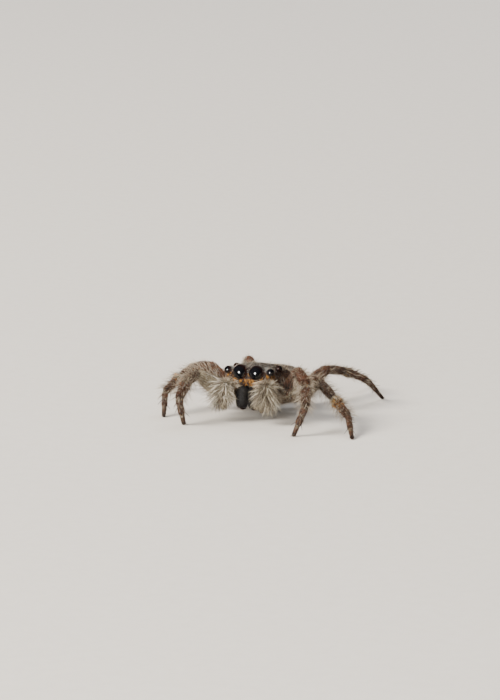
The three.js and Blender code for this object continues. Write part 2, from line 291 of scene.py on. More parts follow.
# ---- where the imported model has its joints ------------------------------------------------


def node_points(name):
    return np.unique(np.round(read_points(frame["nodes"][name].data) / MM, 4), axis=0)


def meeting(first, second, reach=0.05):
    """The middle of the cut where two neighbouring nodes face each other."""
    a, b = node_points(first), node_points(second)
    gaps = np.linalg.norm(a[:, None] - b[None], axis=2)
    return (a[gaps.min(1) < reach].mean(0) + b[gaps.min(0) < reach].mean(0)) / 2


BODY_TURN = turn("X", -BODY_PITCH)
eye_low, eye_high = (np.array(corner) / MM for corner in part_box("eye_front_middle_left"))
BODY_AT = (eye_low + eye_high) / 2 - BODY_TURN @ EYES["front_middle"][0]
ABDOMEN_TURN = turn("Z", ABDOMEN_SWING) @ turn("X", -ABDOMEN_DROP)
ABDOMEN_AT = BODY_AT + ABDOMEN_BEHIND


def from_body(places):
    return np.asarray(places, float) @ BODY_TURN.T + BODY_AT


def to_body(places):
    return (places - BODY_AT) @ BODY_TURN


def other_side(places, sign):
    return np.asarray(places, float) * (sign, 1, 1)


# ---- parts of the skin --------------------------------------------------------------------


class Trunk:
    """A rounded body along its own Y, from sections of half width, top and bottom."""

    def __init__(self, name, rows, edge, square, at, turned):
        self.name, self.edge, self.square = name, edge, square
        self.at, self.turned = at, turned
        self.rows = spline(rows, TRUNK_ROWS)

    def local(self, points):
        return (points - self.at) @ self.turned

    def shape(self):
        angles = np.linspace(0, 2 * math.pi, TRUNK_SIDES, endpoint=False)
        wide, high = (
            np.sign(wave) * np.abs(wave) ** (2 / self.square)
            for wave in (np.cos(angles), np.sin(angles))
        )
        rings = []
        for y, half, top, bottom in self.rows:
            level = np.clip(self.edge, bottom + 0.02, top - 0.02)
            z = level + np.where(high > 0, top - level, level - bottom) * high
            ring = np.stack([half * wide, np.full(TRUNK_SIDES, y), z], 1)
            rings.append(ring @ self.turned.T + self.at)
        return loft(rings)

    def measure(self, points):
        """Distance outside the surface and fraction along, for each point."""
        x, y, z = self.local(points).T
        rows = self.rows
        half, top, bottom = (np.interp(y, rows[:, 0], rows[:, k]) for k in (1, 2, 3))
        level = np.clip(self.edge, bottom + 0.02, top - 0.02)
        high = np.where(z > level, (z - level) / (top - level), (level - z) / (level - bottom))
        size = (np.abs(x / half) ** self.square + high**self.square) ** (1 / self.square)
        past = np.maximum(rows[0, 0] - y, y - rows[-1, 0])
        outside = (size - 1) * np.minimum(half, top - bottom) * 0.8
        along = (y - rows[0, 0]) / (rows[-1, 0] - rows[0, 0])
        return np.maximum(outside, past), along


class Limb:
    """A straight limb segment from one joint to the next, round and swelling."""

    def __init__(self, name, start, end, radius, profile, side=(1.0, 0.0, 0.0), depth=1.0):
        self.name, self.start, self.end = name, np.array(start), np.array(end)
        self.length = np.linalg.norm(self.end - self.start)
        self.way = (self.end - self.start) / self.length
        self.radius, self.depth = radius, depth
        self.side = unit(side - self.way * np.dot(side, self.way))
        self.up = np.cross(self.way, self.side)
        self.rows = spline(profile, LIMB_ROWS)

    def shape(self):
        rings = [
            circle_of(
                self.start + self.way * self.length * along,
                self.way, self.side, self.radius * share, LIMB_SIDES, self.depth,
            )
            for along, share in self.rows
        ]
        return loft(rings)

    def measure(self, points):
        apart = points - self.start
        along = apart @ self.way / self.length
        inside = np.clip(along, 0, 1)
        radius = self.radius * np.interp(inside, self.rows[:, 0], self.rows[:, 1])
        across = apart - (inside * self.length)[:, None] * self.way
        return np.linalg.norm(across, axis=1) - radius, along

    def angles(self, points):
        """How far round from its side each point is, in turns."""
        apart = points - self.start
        return np.arctan2(apart @ self.up, apart @ self.side) / (2 * math.pi)


def leg_joints(leg):
    """Coxa root, hip, knee, shin joint, ankle, tarsus joint and foot of one leg."""
    chain = [f"leg_{leg}_{part}" for part in ("coxa", "femur", "patella", "tibia", "foot")]
    joints = [meeting(a, b) for a, b in zip(chain, chain[1:])]
    coxa, sole = node_points(chain[0]), node_points(chain[-1])
    far = np.argsort(np.linalg.norm(coxa - joints[0], axis=1))[-8:]
    foot = sole[sole[:, 2] < 0.01].mean(0) + (0, 0, SOLE)
    tarsus = joints[-1] + (foot - joints[-1]) * (1 - TARSUS_SHARE)
    return [coxa[far].mean(0), *joints, tarsus, foot]


LEGS = [f"{side}_{number}" for side in ("left", "right") for number in (1, 2, 3, 4)]
LEG_PROFILES = {
    "coxa": COXA, "femur": FEMUR, "patella": PATELLA, "tibia": TIBIA,
    "metatarsus": METATARSUS, "tarsus": TARSUS,
}
PALP_PROFILES = (COXA, FEMUR, PATELLA, TIBIA, TARSUS)
FEMUR_DEPTH = 1.12  # a femur is deeper than it is wide
JOINTS = {leg: leg_joints(leg) for leg in LEGS}


def make_parts():
    """Every part of the skin, trunk first, then waist, spinnerets, legs and mouth parts."""
    parts = [
        # name, sections, height of the widest line, squareness, place and turn
        Trunk("chest", CHEST, -0.12, 2.35, BODY_AT, BODY_TURN),
        Trunk("sternum", STERNUM, -0.5, 2.0, BODY_AT, BODY_TURN),
        Trunk("abdomen", ABDOMEN, -0.1, 2.15, ABDOMEN_AT, ABDOMEN_TURN),
    ]
    waist = from_body(WAIST_FRONT), ABDOMEN_AT + ABDOMEN_TURN @ WAIST_REAR
    parts.append(Limb("waist", *waist, WAIST_RADIUS, [(0, 1), (0.5, 0.85), (1, 1)]))
    for x, z in SPINNERETS:
        ends = np.array([(x, SPINNERET_FROM, z), (x * 1.5, SPINNERET_TO, z * 1.05)])
        ends = ABDOMEN_AT + ends @ ABDOMEN_TURN.T
        profile = [(0, 1), (0.6, 0.95), (0.66, 0.7), (1, 0.45)]
        parts.append(Limb("spinneret", *ends, SPINNERET_RADIUS, profile))
    for leg, joints in JOINTS.items():
        side = unit(np.cross((0, 0, -1), joints[-1] - joints[1]))
        radii = LEG_RADII[int(leg[-1])]
        for index, (kind, profile) in enumerate(LEG_PROFILES.items()):
            ends = joints[index:index + 2]
            depth = FEMUR_DEPTH if kind == "femur" else 1.0
            parts.append(Limb(f"{leg}_{kind}", *ends, radii[index], profile, side, depth))
    for name, sign in (("left", 1), ("right", -1)):
        joints = from_body(other_side(PALP, sign))
        for index, (radius, profile) in enumerate(zip(PALP_RADII, PALP_PROFILES)):
            ends = joints[index:index + 2]
            parts.append(Limb(f"palp_{name}_{index}", *ends, radius, profile, (sign, 0.0, 0.0)))
        ends = from_body(other_side(MOUTH_LOBE, sign))
        profile = [(0, 0.8), (0.4, 1), (0.85, 0.95), (1, 0.6)]
        parts.append(Limb("mouth_lobe", *ends, MOUTH_LOBE_RADIUS, profile))
    return parts


PARTS = make_parts()


def eye_places():
    """Name, middle, radius and way of all eight eyes."""
    for name, (place, radius, way) in EYES.items():
        for side, sign in (("left", 1), ("right", -1)):
            middle = from_body(other_side(place, sign))
            yield f"{name}_{side}", middle, radius, unit(BODY_TURN @ other_side(way, sign))


def eye_mound(middle, radius, way):
    """The low collar of skin that each eye sits in."""
    side = unit(np.cross(way, (0.2, 0.3, 1)))
    profile = [(-1.3, 0.9), (-0.6, 1.08), (-0.25, 1.08), (-0.1, 1.02), (-0.06, 0.9)]
    return loft([
        circle_of(middle + way * radius * ahead, way, side, radius * share, 24)
        for ahead, share in profile
    ])


# ---- the skin -----------------------------------------------------------------------------


def skin_blank():
    shapes = [part.shape() for part in PARTS]
    for part in PARTS:
        if isinstance(part, Limb) and part.name not in ("spinneret", "mouth_lobe"):
            knob = part.radius * part.rows[-1, 1]
            shapes.append(ball(part.end, max(knob, 0.06), 14, 8))
    shapes += [eye_mound(middle, radius, way) for _, middle, radius, way in eye_places()]
    return joined(shapes)


def make_skin():
    """The remeshed skin as points, normals and four-cornered faces."""
    blank = mesh_object("skin", *skin_blank())
    remesh = blank.modifiers.new("one skin", "REMESH")
    remesh.mode = "VOXEL"
    remesh.voxel_size = VOXEL
    soften = blank.modifiers.new("soften", "SMOOTH")
    soften.factor = 0.5
    soften.iterations = SMOOTHING
    mesh = plain_mesh(blank, "skin")
    normals = np.empty(len(mesh.vertices) * 3)
    mesh.vertex_normals.foreach_get("vector", normals)
    faces = np.array([polygon.vertices[:] for polygon in mesh.polygons])
    points = read_points(mesh)
    bpy.data.objects.remove(blank)
    return points, normals.reshape(-1, 3), faces


def sort_points(points):
    """For each point, the part it belongs to and how far along that part it is."""
    nearest = np.full(len(points), np.inf)
    label = np.zeros(len(points), int)
    along = np.zeros(len(points))
    for index, part in enumerate(PARTS):
        outside, part_along = part.measure(points)
        closer = outside < nearest
        nearest[closer], label[closer] = outside[closer], index
        along[closer] = part_along[closer]
    return label, along


def ramp(values, low, high):
    """0 below `low`, 1 above `high` and smooth between, or the other way round."""
    t = np.clip((values - low) / (high - low), 0, 1)
    return t * t * (3 - 2 * t)


def band(values, low, high, soft):
    return ramp(values, low - soft, low + soft) * (1 - ramp(values, high - soft, high + soft))


SKIN_POINTS, SKIN_NORMALS, SKIN_FACES = make_skin()
LABEL, ALONG = sort_points(SKIN_POINTS)
FACE_LABEL = sort_points(SKIN_POINTS[SKIN_FACES].mean(1))[0]
KIND = np.array([part.name.split("_")[-1] if isinstance(part, Limb) else part.name
                 for part in PARTS])
OWNER = np.array([part.name.rsplit("_", 1)[0] for part in PARTS])

# ---- markings and hair of the skin --------------------------------------------------------

# Marks are shares from 0 to 1 that both the skin's and the coat's colours follow.
# The last, shade, is painted shade that darkens the long feeler hair towards its darker colour.
MARKS = ("umber", "rufous", "silver", "dark", "amber", "cream", "shade")
# The coat: which way hairs lie, how steeply they rise, their length and how many there are.
GROWTH = ("lift", "length", "density")

LEG_RINGS = {
    # segment: hair length, umber, then rings of (mark, from, to, strength)
    "coxa": (0.12, 0.4, (("rufous", 0, 1, 0.5), ("cream", 0, 1, 0.15))),
    "femur": (0.17, 0.1, (
        ("silver", 0.1, 0.9, 0.4), ("rufous", -0.1, 0.3, 0.4), ("rufous", 0.78, 1.1, 0.35),
        ("cream", 0.1, 0.9, 0.4),
    )),
    "patella": (0.11, 0.4, (
        ("rufous", 0.05, 0.95, 0.45), ("dark", 0.75, 0.96, 0.25), ("cream", -0.1, 0.1, 0.45),
        ("silver", 0.0, 0.6, 0.25),
    )),
    "tibia": (0.11, 0.55, (
        ("cream", -0.1, 0.16, 0.45), ("amber", 0.0, 0.2, 0.1), ("rufous", 0.15, 0.95, 0.6),
        ("dark", 0.8, 1.1, 0.35), ("cream", 0.5, 0.58, 0.2), ("silver", 0.1, 0.8, 0.12),
    )),
    "metatarsus": (0.09, 0.55, (
        ("cream", -0.1, 0.12, 0.35), ("rufous", 0.1, 1.1, 0.6), ("cream", 0.4, 0.6, 0.25),
        ("dark", 0.8, 1.1, 0.3), ("silver", 0.1, 0.8, 0.12),
    )),
    "tarsus": (0.075, 0.5, (
        ("cream", -0.1, 0.35, 0.35), ("rufous", 0.2, 1.1, 0.5), ("dark", 0.7, 1.3, 0.45),
    )),
}
# Long hairs of each segment: how thick they stand, and their length.
LEG_FRINGES = {
    "coxa": (0.6, 0.3), "femur": (1.0, 0.42), "patella": (0.5, 0.28), "tibia": (0.8, 0.34),
    "metatarsus": (0.6, 0.22), "tarsus": (0.3, 0.14),
}
# Painted shadow on the upper inner side of a front femur, where the head shades it, and painted
# light that makes the sides and underside of a front coxa and femur paler, by how much on each
# front leg.
FEMUR_PAINTED_SHADOW = {"left_1": 1.0, "right_1": 0.1}
BASE_PAINTED_LIGHT = {"left_1": 0.3, "right_1": 1.0}
# Feeler segments: hair length, how far it stands out, and what the inner side adds to it.
PALP_HAIRS = (
    (0.14, 0.6, 0.0), (0.36, 1.2, 0.08), (0.6, 1.7, 0.1), (0.66, 1.5, -0.03), (0.58, 1.2, -0.08),
)


def more(marks, **least):
    """Raises marks to these values where they are lower."""
    for name, values in least.items():
        marks[name] = np.maximum(marks[name], values)


def fade(marks, where, **losses):
    """Takes these shares of the marks away where `where` is 1."""
    for name, loss in losses.items():
        marks[name] = marks[name] * (1 - loss * where)


def limb_marks(marks, kind, leg, t, level, inner):
    """Rings and hair of one leg segment.

    t is the way along, `level` is 1 on top and -1 underneath, and `inner` is 1 on the
    upper side that faces the head.
    """
    number = int(leg[-1])
    marks["length"], marks["umber"], rings = LEG_RINGS[kind]
    marks["lift"] = 0.42 if kind == "femur" else 0.3
    for mark, low, high, strength in rings:
        more(marks, **{mark: strength * band(t, low, high, 0.05)})
    if kind == "femur":
        down = ramp(level, -0.6, -0.9) if number == 1 else ramp(level, -0.1, -0.7)
        fade(marks, down, silver=0.8, cream=0.5)
        more(marks, dark=0.4 * down, rufous=0.5 * down)
        marks["umber"] += 0.4 * down
        if number > 1:
            marks["umber"] += 0.25 + 0.2 * (number > 2)
            more(marks, rufous=0.2 + 0.12 * number)
            fade(marks, 1, silver=0.6, cream=0.7 + 0.2 * (number > 2))
    # Painted light and shade on the front legs: paler sides and underside on coxa and femur, and
    # a darker, redder painted shadow on the femur's upper inner side.
    if leg in BASE_PAINTED_LIGHT and kind in ("coxa", "femur"):
        painted_shadow = FEMUR_PAINTED_SHADOW[leg] * inner * (kind == "femur") * band(t, 0.3, 0.93, 0.12)
        pale = BASE_PAINTED_LIGHT[leg] * ramp(level, 0.9, 0.5)
        more(marks, cream=pale)
        fade(marks, pale, rufous=0.6, umber=0.6)
        # The left front coxa gets its own reddish tone, painted lighter as well against the shade
        # it lies in.
        if leg == "left_1" and kind == "coxa":
            fade(marks, 1, umber=0.6)
            more(marks, rufous=0.7, cream=0.45)
        more(marks, dark=0.65 * painted_shadow, rufous=0.75 * painted_shadow)
        marks["umber"] += 0.8 * painted_shadow
        fade(marks, painted_shadow, silver=0.9, cream=0.95)
    if kind == "tibia":
        base = ramp(t, 0.35, 0.1)
        marks["length"] += 0.14 * base
        marks["lift"] += 0.45 * base
        if number == 2:
            marks["length"] += 0.06 * base
            golden = 0.3 if leg == "left_2" else 0.1
            more(marks, amber=golden * (base + ramp(t, 0.8, 0.4)), cream=0.85 * base)
    elif leg == "left_2" and kind == "metatarsus":
        marks["umber"] += 0.3
        fade(marks, 1, cream=0.6, silver=0.5)
    if number == 3:
        marks["umber"] += 0.2
        fade(marks, 1, cream=0.5, silver=0.6)
    # Painted shade: the left front patella is made darker and redder than the right one, for the
    # shade of the body beside it.
    if leg == "left_1" and kind == "patella":
        more(marks, rufous=0.8)
        marks["umber"] += 0.25
        fade(marks, 1, silver=0.7, cream=0.5)
    if leg == "right_1" and kind == "tibia":
        more(marks, rufous=0.6)
        fade(marks, 1, cream=0.3)
    # The right front patella is made paler: partly its own pinkish tone, partly painted light
    # against the shade on its lower side.
    elif leg == "right_1" and kind == "patella":
        marks["umber"] -= 0.4
        fade(marks, 1, rufous=0.2, dark=0.6)
        more(marks, cream=0.25)


def palp_marks(marks, index, t, normals, side):
    """Long hair that fans out to both sides of a feeler and hangs down its front."""
    # shade is painted shade: the left feeler's long hair is darkened, as it lies away from the
    # light, and the last two segments darken towards the tip, their shaded underside.
    shade = 0.5 if side > 0 else 0.0
    marks.update(umber=0.3, rufous=0.2, cream=0.5, shade=shade)
    across = (normals @ BODY_TURN)[:, 0] * side
    length, lift, inner_length = PALP_HAIRS[index]
    length = length * (0.75 + 0.25 * np.abs(across))
    length += (0.15 + 0.2 * shade) * ramp(across, 0.2, 0.8) * (1 <= index <= 3)
    length += inner_length * ramp(-across, 0.2, 0.8)
    lift = lift * (0.4 + 0.6 * ramp(np.abs(across), 0.1, 0.8))
    if index == 4:
        length -= 0.26 * ramp(t, 0.2, 1)
        lift *= 1 - 0.4 * ramp(t, 0.2, 1)
        more(marks, shade=0.5 + 0.5 * ramp(t, 0.0, 0.5))
    elif index == 3:
        more(marks, shade=0.4 * ramp(t, 0.2, 1))
    marks.update(length=length, lift=lift)


def amber_of(points, x, z):
    """Golden hair: a wedge between the front eyes and thin crescents under all four."""
    glow = ramp(np.abs(x), 0.3, 0.16) * band(z, -0.19, 0.1, 0.03) * 0.5
    glow = np.maximum(glow, 0.3 * ramp(np.abs(x), 0.2, 0.1) * band(z, 0.05, 0.3, 0.06))
    for name, middle, radius, _ in eye_places():
        if not name.startswith("front"):
            continue
        reach, strength = (0.42, 0.7) if "middle" in name else (0.85, 0.75)
        away = (points - middle) @ BODY_TURN
        ring = np.linalg.norm(away * (1, 0.6, 1), axis=1) / radius - 1
        under = ramp(-away[:, 2] / radius, 0.3, 0.8)
        glow = np.maximum(glow, strength * under * ramp(ring, reach, 0.4 * reach))
    return glow


def chest_marks(marks, points, normals):
    x, y, z = to_body(points).T
    _, ny, nz = (normals @ BODY_TURN).T
    wide = np.abs(x)
    front = ramp(-ny, 0.25, 0.7) * ramp(y, -1.3, -1.45)
    top, crown = ramp(nz, 0.4, 0.85), ramp(nz, 0.72, 0.93)
    side, slope = (1 - top) * (1 - front), top * (1 - crown)
    fan = np.sin(17 * x + 5 * z) * np.sin(13 * z - 9 * x)
    marks["umber"] = 0.5 + 0.45 * side + 0.3 * front
    more(marks, rufous=np.maximum(0.75 * side + 0.3 * front, 0.5 * slope))
    more(marks, silver=crown * ramp(y, 0.5, -0.8) * (0.6 + 0.2 * fan))
    more(marks, silver=0.3 * front * ramp(z, 0.1, 0.3))
    for dark in (
        0.4 * side * ramp(z, -0.2, -0.05), 0.55 * front, 0.8 * front * ramp(z, -0.17, -0.21),
        top * (0.35 + 0.25 * ramp(y, -0.6, 0.2)), 0.45 * slope,
    ):
        more(marks, dark=dark)
    # Silver scales beside the side eyes and between the eyes, and a painted rim light drawn in
    # silver along the top of the brow.
    patch = ramp(nz, 0.3, 0.7) * ramp(wide, 0.4, 0.6) * band(y, -1.65, -0.95, 0.12)
    # Painted rim light: the brow's front edge is lit silver, broken up by the fan pattern.
    patch = np.maximum(patch, 0.7 * top * ramp(y, -1.2, -1.35) * ramp(fan, -0.3, 0.2))
    patch = np.maximum(patch, 0.5 * front * band(wide, 0.66, 0.7, 0.02) * ramp(z, 0.1, 0.2))
    more(marks, silver=0.95 * patch)
    fade(marks, patch, dark=0.85, rufous=0.6, umber=0.6)
    between = front * ramp(wide, 0.5, 0.6) * ramp(z, 0.0, 0.08) * (1 - patch)
    more(marks, rufous=0.8 * between, dark=0.65 * between)
    fade(marks, between, silver=0.7)
    marks["amber"] = amber_of(points, x, z) * ramp(y, -1.1, -1.35)
    lip = front * ramp(z, -0.06, -0.13) * ramp(wide, 0.5, 0.4)
    corner = ramp(wide, 0.58, 0.75) * ramp(z, 0.15, 0.05) * ramp(y, -1.25, -1.4)
    more(marks, rufous=0.8 * lip, cream=0.6 * side * ramp(z, -0.1, -0.2))
    more(marks, cream=np.maximum(0.25 * crown * ramp(fan, 0.0, 0.6), 0.6 * corner))
    fade(marks, corner, dark=0.8)
    marks["length"] = 0.1 + 0.03 * top - 0.02 * front - 0.03 * marks["amber"]
    marks["length"] += 0.12 * lip + 0.12 * corner
    marks["lift"] = 0.28 + 0.5 * front + 0.12 * side + 0.35 * top * ramp(y, -1.1, -1.4)
    marks["lift"] -= 0.35 * lip


def abdomen_marks(marks, places):
    """Chevrons down the middle, a dark line on each side of them, and a pale edge."""
    x, y, z = places.T
    upper = ramp(z, -0.25, 0.05)
    wave = 0.09 * np.sin(5.3 * y + 3 * x) + 0.06 * np.sin(11 * x - 4 * y)
    chevron = 0.5 + 0.5 * np.sin(2 * math.pi * (y + wave - 1.15 * np.abs(x)) / 0.78)
    middle = ramp(np.abs(x) + wave, 0.6, 0.42) * upper
    blotch = ramp(np.sin(7 * x + 2 * y) * np.sin(6 * y - 4 * x + 1), 0.1, 0.7)
    front = ramp(y, 1.1, 0.7)
    marks["umber"] = 0.45 + 0.25 * blotch + 0.3 * front
    marks["rufous"] = 0.25 + 0.15 * middle
    marks["silver"] = upper * (0.3 + 0.25 * (1 - middle))
    for dark in (
        upper * 0.6 * middle * ramp(chevron, 0.5, 0.9),
        upper * 0.55 * band(np.abs(x) + wave, 0.5, 0.66, 0.07),
        0.35 * blotch * upper, 0.45 * front,
    ):
        more(marks, dark=dark)
    more(marks, cream=np.maximum(0.5 * middle * ramp(chevron, 0.45, 0.1), 0.35 * (1 - upper)))
    fade(marks, front, cream=0.6)
    marks.update(length=0.13, lift=0.28)


def hair_way(points, normals):
    """The way the hairs lie, along the skin."""
    way = np.zeros_like(points)
    for index, part in enumerate(PARTS):
        here = LABEL == index
        if isinstance(part, Limb):
            way[here] = part.way
        elif part.name == "abdomen":
            way[here] = ABDOMEN_TURN @ (0, 1, -0.1)
        else:
            x, y = to_body(points[here]).T[:2]
            _, ny, nz = (normals[here] @ BODY_TURN).T
            face, top = ramp(-ny, 0.3, 0.8)[:, None], ramp(nz, 0.2, 0.7)[:, None]
            rear = ramp(y, -0.9, -0.1)[:, None]
            on_top = (1 - rear) * (0.0, -1.0, 0.1) + rear * (0.0, 1.0, -0.3)
            on_side = np.stack([0.2 * np.sign(x), 0.35 + 0 * x, -0.9 + 0 * x], 1)
            on_face = np.stack([0.5 * x, 0 * x, -1 + 0 * x], 1)
            local = face * on_face + (1 - face) * (top * on_top + (1 - top) * on_side)
            way[here] = local @ BODY_TURN.T
        if part.name.startswith("palp"):
            spread = 0.5 * (normals[here] @ BODY_TURN)[:, :1] * (BODY_TURN @ (1, 0, 0))
            way[here] += spread + (0, 0, -0.4)
    for _, middle, radius, _ in eye_places():
        away = points - middle
        apart = np.linalg.norm(away, axis=1)
        close = ramp(apart, radius * 1.6, radius * 1.15)[:, None]
        way = (1 - close) * way + close * away / apart[:, None]
    way -= normals * (way * normals).sum(1, keepdims=True)
    return unit(way)


def all_marks():
    """The marks and the growth of the coat at every point of the skin."""
    values = {name: np.zeros(len(SKIN_POINTS)) for name in MARKS}
    values.update({name: np.ones(len(SKIN_POINTS)) for name in GROWTH})
    for index, part in enumerate(PARTS):
        here = LABEL == index
        points, normals, t = SKIN_POINTS[here], SKIN_NORMALS[here], ALONG[here]
        some = {name: values[name][here] for name in values}
        kind, owner = KIND[index], OWNER[index]
        side = 1 if "left" in owner else -1
        if kind in LEG_PROFILES:
            inner = ramp(normals @ (-0.8 * side, -0.39, 0.44), -0.25, 0.2)
            limb_marks(some, kind, owner, t, normals[:, 2], inner)
        elif owner.startswith("palp"):
            palp_marks(some, int(kind), t, normals, side)
        elif part.name == "abdomen":
            abdomen_marks(some, part.local(points))
        elif part.name == "chest":
            chest_marks(some, points, normals)
        else:
            some.update(rufous=0.5, dark=0.3, length=0.1, lift=0.4)
        for name in values:
            values[name][here] = some[name]
    for _, middle, radius, _ in eye_places():
        apart = np.linalg.norm(SKIN_POINTS - middle, axis=1)
        values["density"] *= ramp(apart, radius * 1.03, radius * 1.08)
        values["length"] *= 1 - 0.45 * ramp(apart, radius * 1.5, radius * 1.1)
    return values


SKIN_VALUES = all_marks()
MARK_VALUES = {name: SKIN_VALUES[name] for name in MARKS}
HAIR_WAY = hair_way(SKIN_POINTS, SKIN_NORMALS)

# ---- where each bit of skin lies on the bake map ------------------------------------------


def map_cells():
    """A square of the map for each part: the trunk parts get six large ones each."""
    trunks = [index for index, part in enumerate(PARTS) if isinstance(part, Trunk)]
    limbs = [index for index, part in enumerate(PARTS) if isinstance(part, Limb)]
    wide, columns = 0.5 / len(trunks), 6
    cells = {
        (index, row): (column * wide, row / 6, wide, 1 / 6)
        for column, index in enumerate(trunks) for row in range(6)
    }
    rows = math.ceil(len(limbs) / columns)
    for count, index in enumerate(limbs):
        column, row = count % columns, count // columns
        cells[index, 0] = (0.5 + column * 0.5 / columns, row / rows, 0.5 / columns, 1 / rows)
    return cells


def fitted(cell, share):
    """Shares from 0 to 1 across a cell, kept off its edges."""
    left, low, wide, high = cell
    inner = 0.06 + 0.88 * np.clip(share, -0.05, 1.05)
    return np.stack([left + wide * inner[..., 0], low + high * inner[..., 1]], -1)


def bake_places():
    """The place on the map of each corner of each face of the skin."""
    cells = map_cells()
    corners = SKIN_POINTS[SKIN_FACES]
    places = np.zeros((*SKIN_FACES.shape, 2))
    facing = unit(SKIN_NORMALS[SKIN_FACES].mean(1))
    for index, part in enumerate(PARTS):
        here = np.flatnonzero(FACE_LABEL == index)
        flat = corners[here].reshape(-1, 3)
        if isinstance(part, Trunk):
            local = part.local(flat).reshape(-1, 4, 3)
            way = facing[here] @ part.turned
            axis = np.abs(way).argmax(1)
            side = axis * 2 + (way[np.arange(len(way)), axis] > 0)
            y, half, top, bottom = part.rows.T
            low = np.array([-half.max(), y[0], bottom.min()])
            share = (local - low) / (np.array([half.max(), y[-1], top.max()]) - low)
            for cell in range(6):
                use = side == cell
                pair = [k for k in range(3) if k != cell // 2]
                places[here[use]] = fitted(cells[index, cell], share[use][:, :, pair])
        else:
            along = part.measure(flat)[1].reshape(-1, 4)
            angle = part.angles(flat).reshape(-1, 4)
            first = angle[:, :1]
            angle = first + (angle - first + 0.5) % 1 - 0.5
            share = np.stack([0.04 + 0.92 * (angle + 0.55) / 1.1, along], 2)
            places[here] = fitted(cells[index, 0], share)
    return places


BAKE_PLACES = bake_places()

# ---- making pieces ------------------------------------------------------------------------


def node(tree, kind, inputs=None, **settings):
    """Adds a node, sets it up, and fills its inputs with values or other nodes' outputs.

    A node given as an input stands for the first of its outputs that is in use.
    """
    made = tree.nodes.new(kind)
    for name, value in settings.items():
        setattr(made, name, value)
    for key, value in (inputs or {}).items():
        if isinstance(value, bpy.types.Node):
            value = next(output for output in value.outputs if output.enabled)
        if isinstance(value, bpy.types.NodeSocket):
            tree.links.new(value, made.inputs[key])
        else:
            made.inputs[key].default_value = value
    return made


def set_values(mesh, name, values, kind="FLOAT", domain="POINT"):
    """Writes a named attribute: numbers, or pairs or triples of numbers."""
    attribute = mesh.attributes.new(name, kind, domain)
    field = "value" if kind == "FLOAT" else "vector"
    attribute.data.foreach_set(field, np.asarray(values, np.float32).ravel())


def press_on_floor(mesh):
    """Lays the hair tips that reach down to the floor on it, and leaves the rest alone."""
    points = read_points(mesh)
    low = np.minimum(points[:, 2], FLOOR_HAIR)
    points[:, 2] += FLOOR_HAIR * np.exp(low / FLOOR_HAIR - 1) - low
    mesh.vertices.foreach_set("co", points.ravel())


def finished(thing, material=None, replaced=()):
    """Turns a piece made in millimetres into metres and sets it on the frame."""
    thing.data.transform(TO_METRES)
    thing.data.update()
    if material:
        thing.data.materials.append(material)
    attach(thing, "root")
    if replaced:
        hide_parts(*replaced)


# ---- finishes -----------------------------------------------------------------------------


def srgb(code):
    """A colour such as "8a7f70" as the linear numbers that the shaders use."""
    parts = [int(code[k:k + 2], 16) / 255 for k in (0, 2, 4)]
    linear = [c / 12.92 if c <= 0.04045 else ((c + 0.055) / 1.055) ** 2.4 for c in parts]
    return (*linear, 1.0)


def per_mm(size):
    """A texture's scale for features of this size, on coordinates in millimetres."""
    return 1 / size


def new_tree(name):
    material = bpy.data.materials.new(name)
    material.use_nodes = True
    material.node_tree.nodes.clear()
    return material, material.node_tree


def shaded(material, inputs):
    """Ends a material with its shader, which takes these inputs."""
    tree = material.node_tree
    shader = node(tree, "ShaderNodeBsdfPrincipled", inputs)
    node(tree, "ShaderNodeOutputMaterial", {"Surface": shader})
    return material


def millimetres(tree):
    """Object coordinates, which are in metres, turned into millimetres."""
    place = node(tree, "ShaderNodeTexCoord").outputs["Object"]
    return node(tree, "ShaderNodeVectorMath", {0: place, "Scale": 1 / MM}, operation="SCALE")


# The coat's ground colours, and the two shades of each mark, darker and lighter.
GROUND = ("4d3f35", "93806f")
MARK_COLOURS = {
    "umber": ("32231b", "5f4a3a"),
    "rufous": ("5a3322", "8a5a40"),
    "silver": ("6a6863", "c6c3bd"),
    "dark": ("16110f", "30241d"),
    "amber": ("2c1305", "fba92c"),
    "cream": ("a8977a", "ddd2b8"),
}
RGBA = {"data_type": "RGBA"}


def coat_colour(tree, place, pick):
    """The markings at a place. `pick`, from 0 to 1, decides which mark shows there."""
    cloud, shade, speckle = (
        node(
            tree, "ShaderNodeTexNoise",
            {"Vector": place, "Scale": per_mm(size), "Detail": detail},
        )
        for size, detail in ((0.35, 3.0), (0.06, 2.0), (0.09, 1.0))
    )
    speckle = node(tree, "ShaderNodeMapRange", {0: speckle, 1: 0.44, 2: 0.58})
    shade = node(tree, "ShaderNodeMapRange", {0: shade, 1: 0.3, 2: 0.7})
    low, high = map(srgb, GROUND)
    colour = node(tree, "ShaderNodeMix", {0: shade, 6: low, 7: high}, **RGBA)
    for number, (mark, shades) in enumerate(MARK_COLOURS.items()):
        share = node(tree, "ShaderNodeAttribute", attribute_name=mark).outputs["Fac"]
        # Each mark rolls its own die for each hair, and clouds make it rarer or commoner.
        spun = node(
            tree, "ShaderNodeMath", {0: pick, 1: 2.3 + 1.7 * number, 2: 0.17 * number},
            operation="MULTIPLY_ADD",
        )
        die = node(tree, "ShaderNodeMath", {0: spun}, operation="FRACT")
        soft = node(tree, "ShaderNodeMath", {0: die, 1: cloud, 2: die}, operation="MULTIPLY_ADD")
        half = node(tree, "ShaderNodeMath", {0: soft, 1: 0.66}, operation="MULTIPLY")
        left = node(tree, "ShaderNodeMath", {0: share, 1: half}, operation="SUBTRACT")
        shown = node(
            tree, "ShaderNodeMapRange", {0: left, 1: -0.07, 2: 0.07},
            interpolation_type="SMOOTHSTEP",
        )
        grain = speckle if mark == "amber" else shade
        low, high = map(srgb, shades)
        tint = node(tree, "ShaderNodeMix", {0: grain, 6: low, 7: high}, **RGBA)
        colour = node(tree, "ShaderNodeMix", {0: shown, 6: colour, 7: tint}, **RGBA)
    return colour


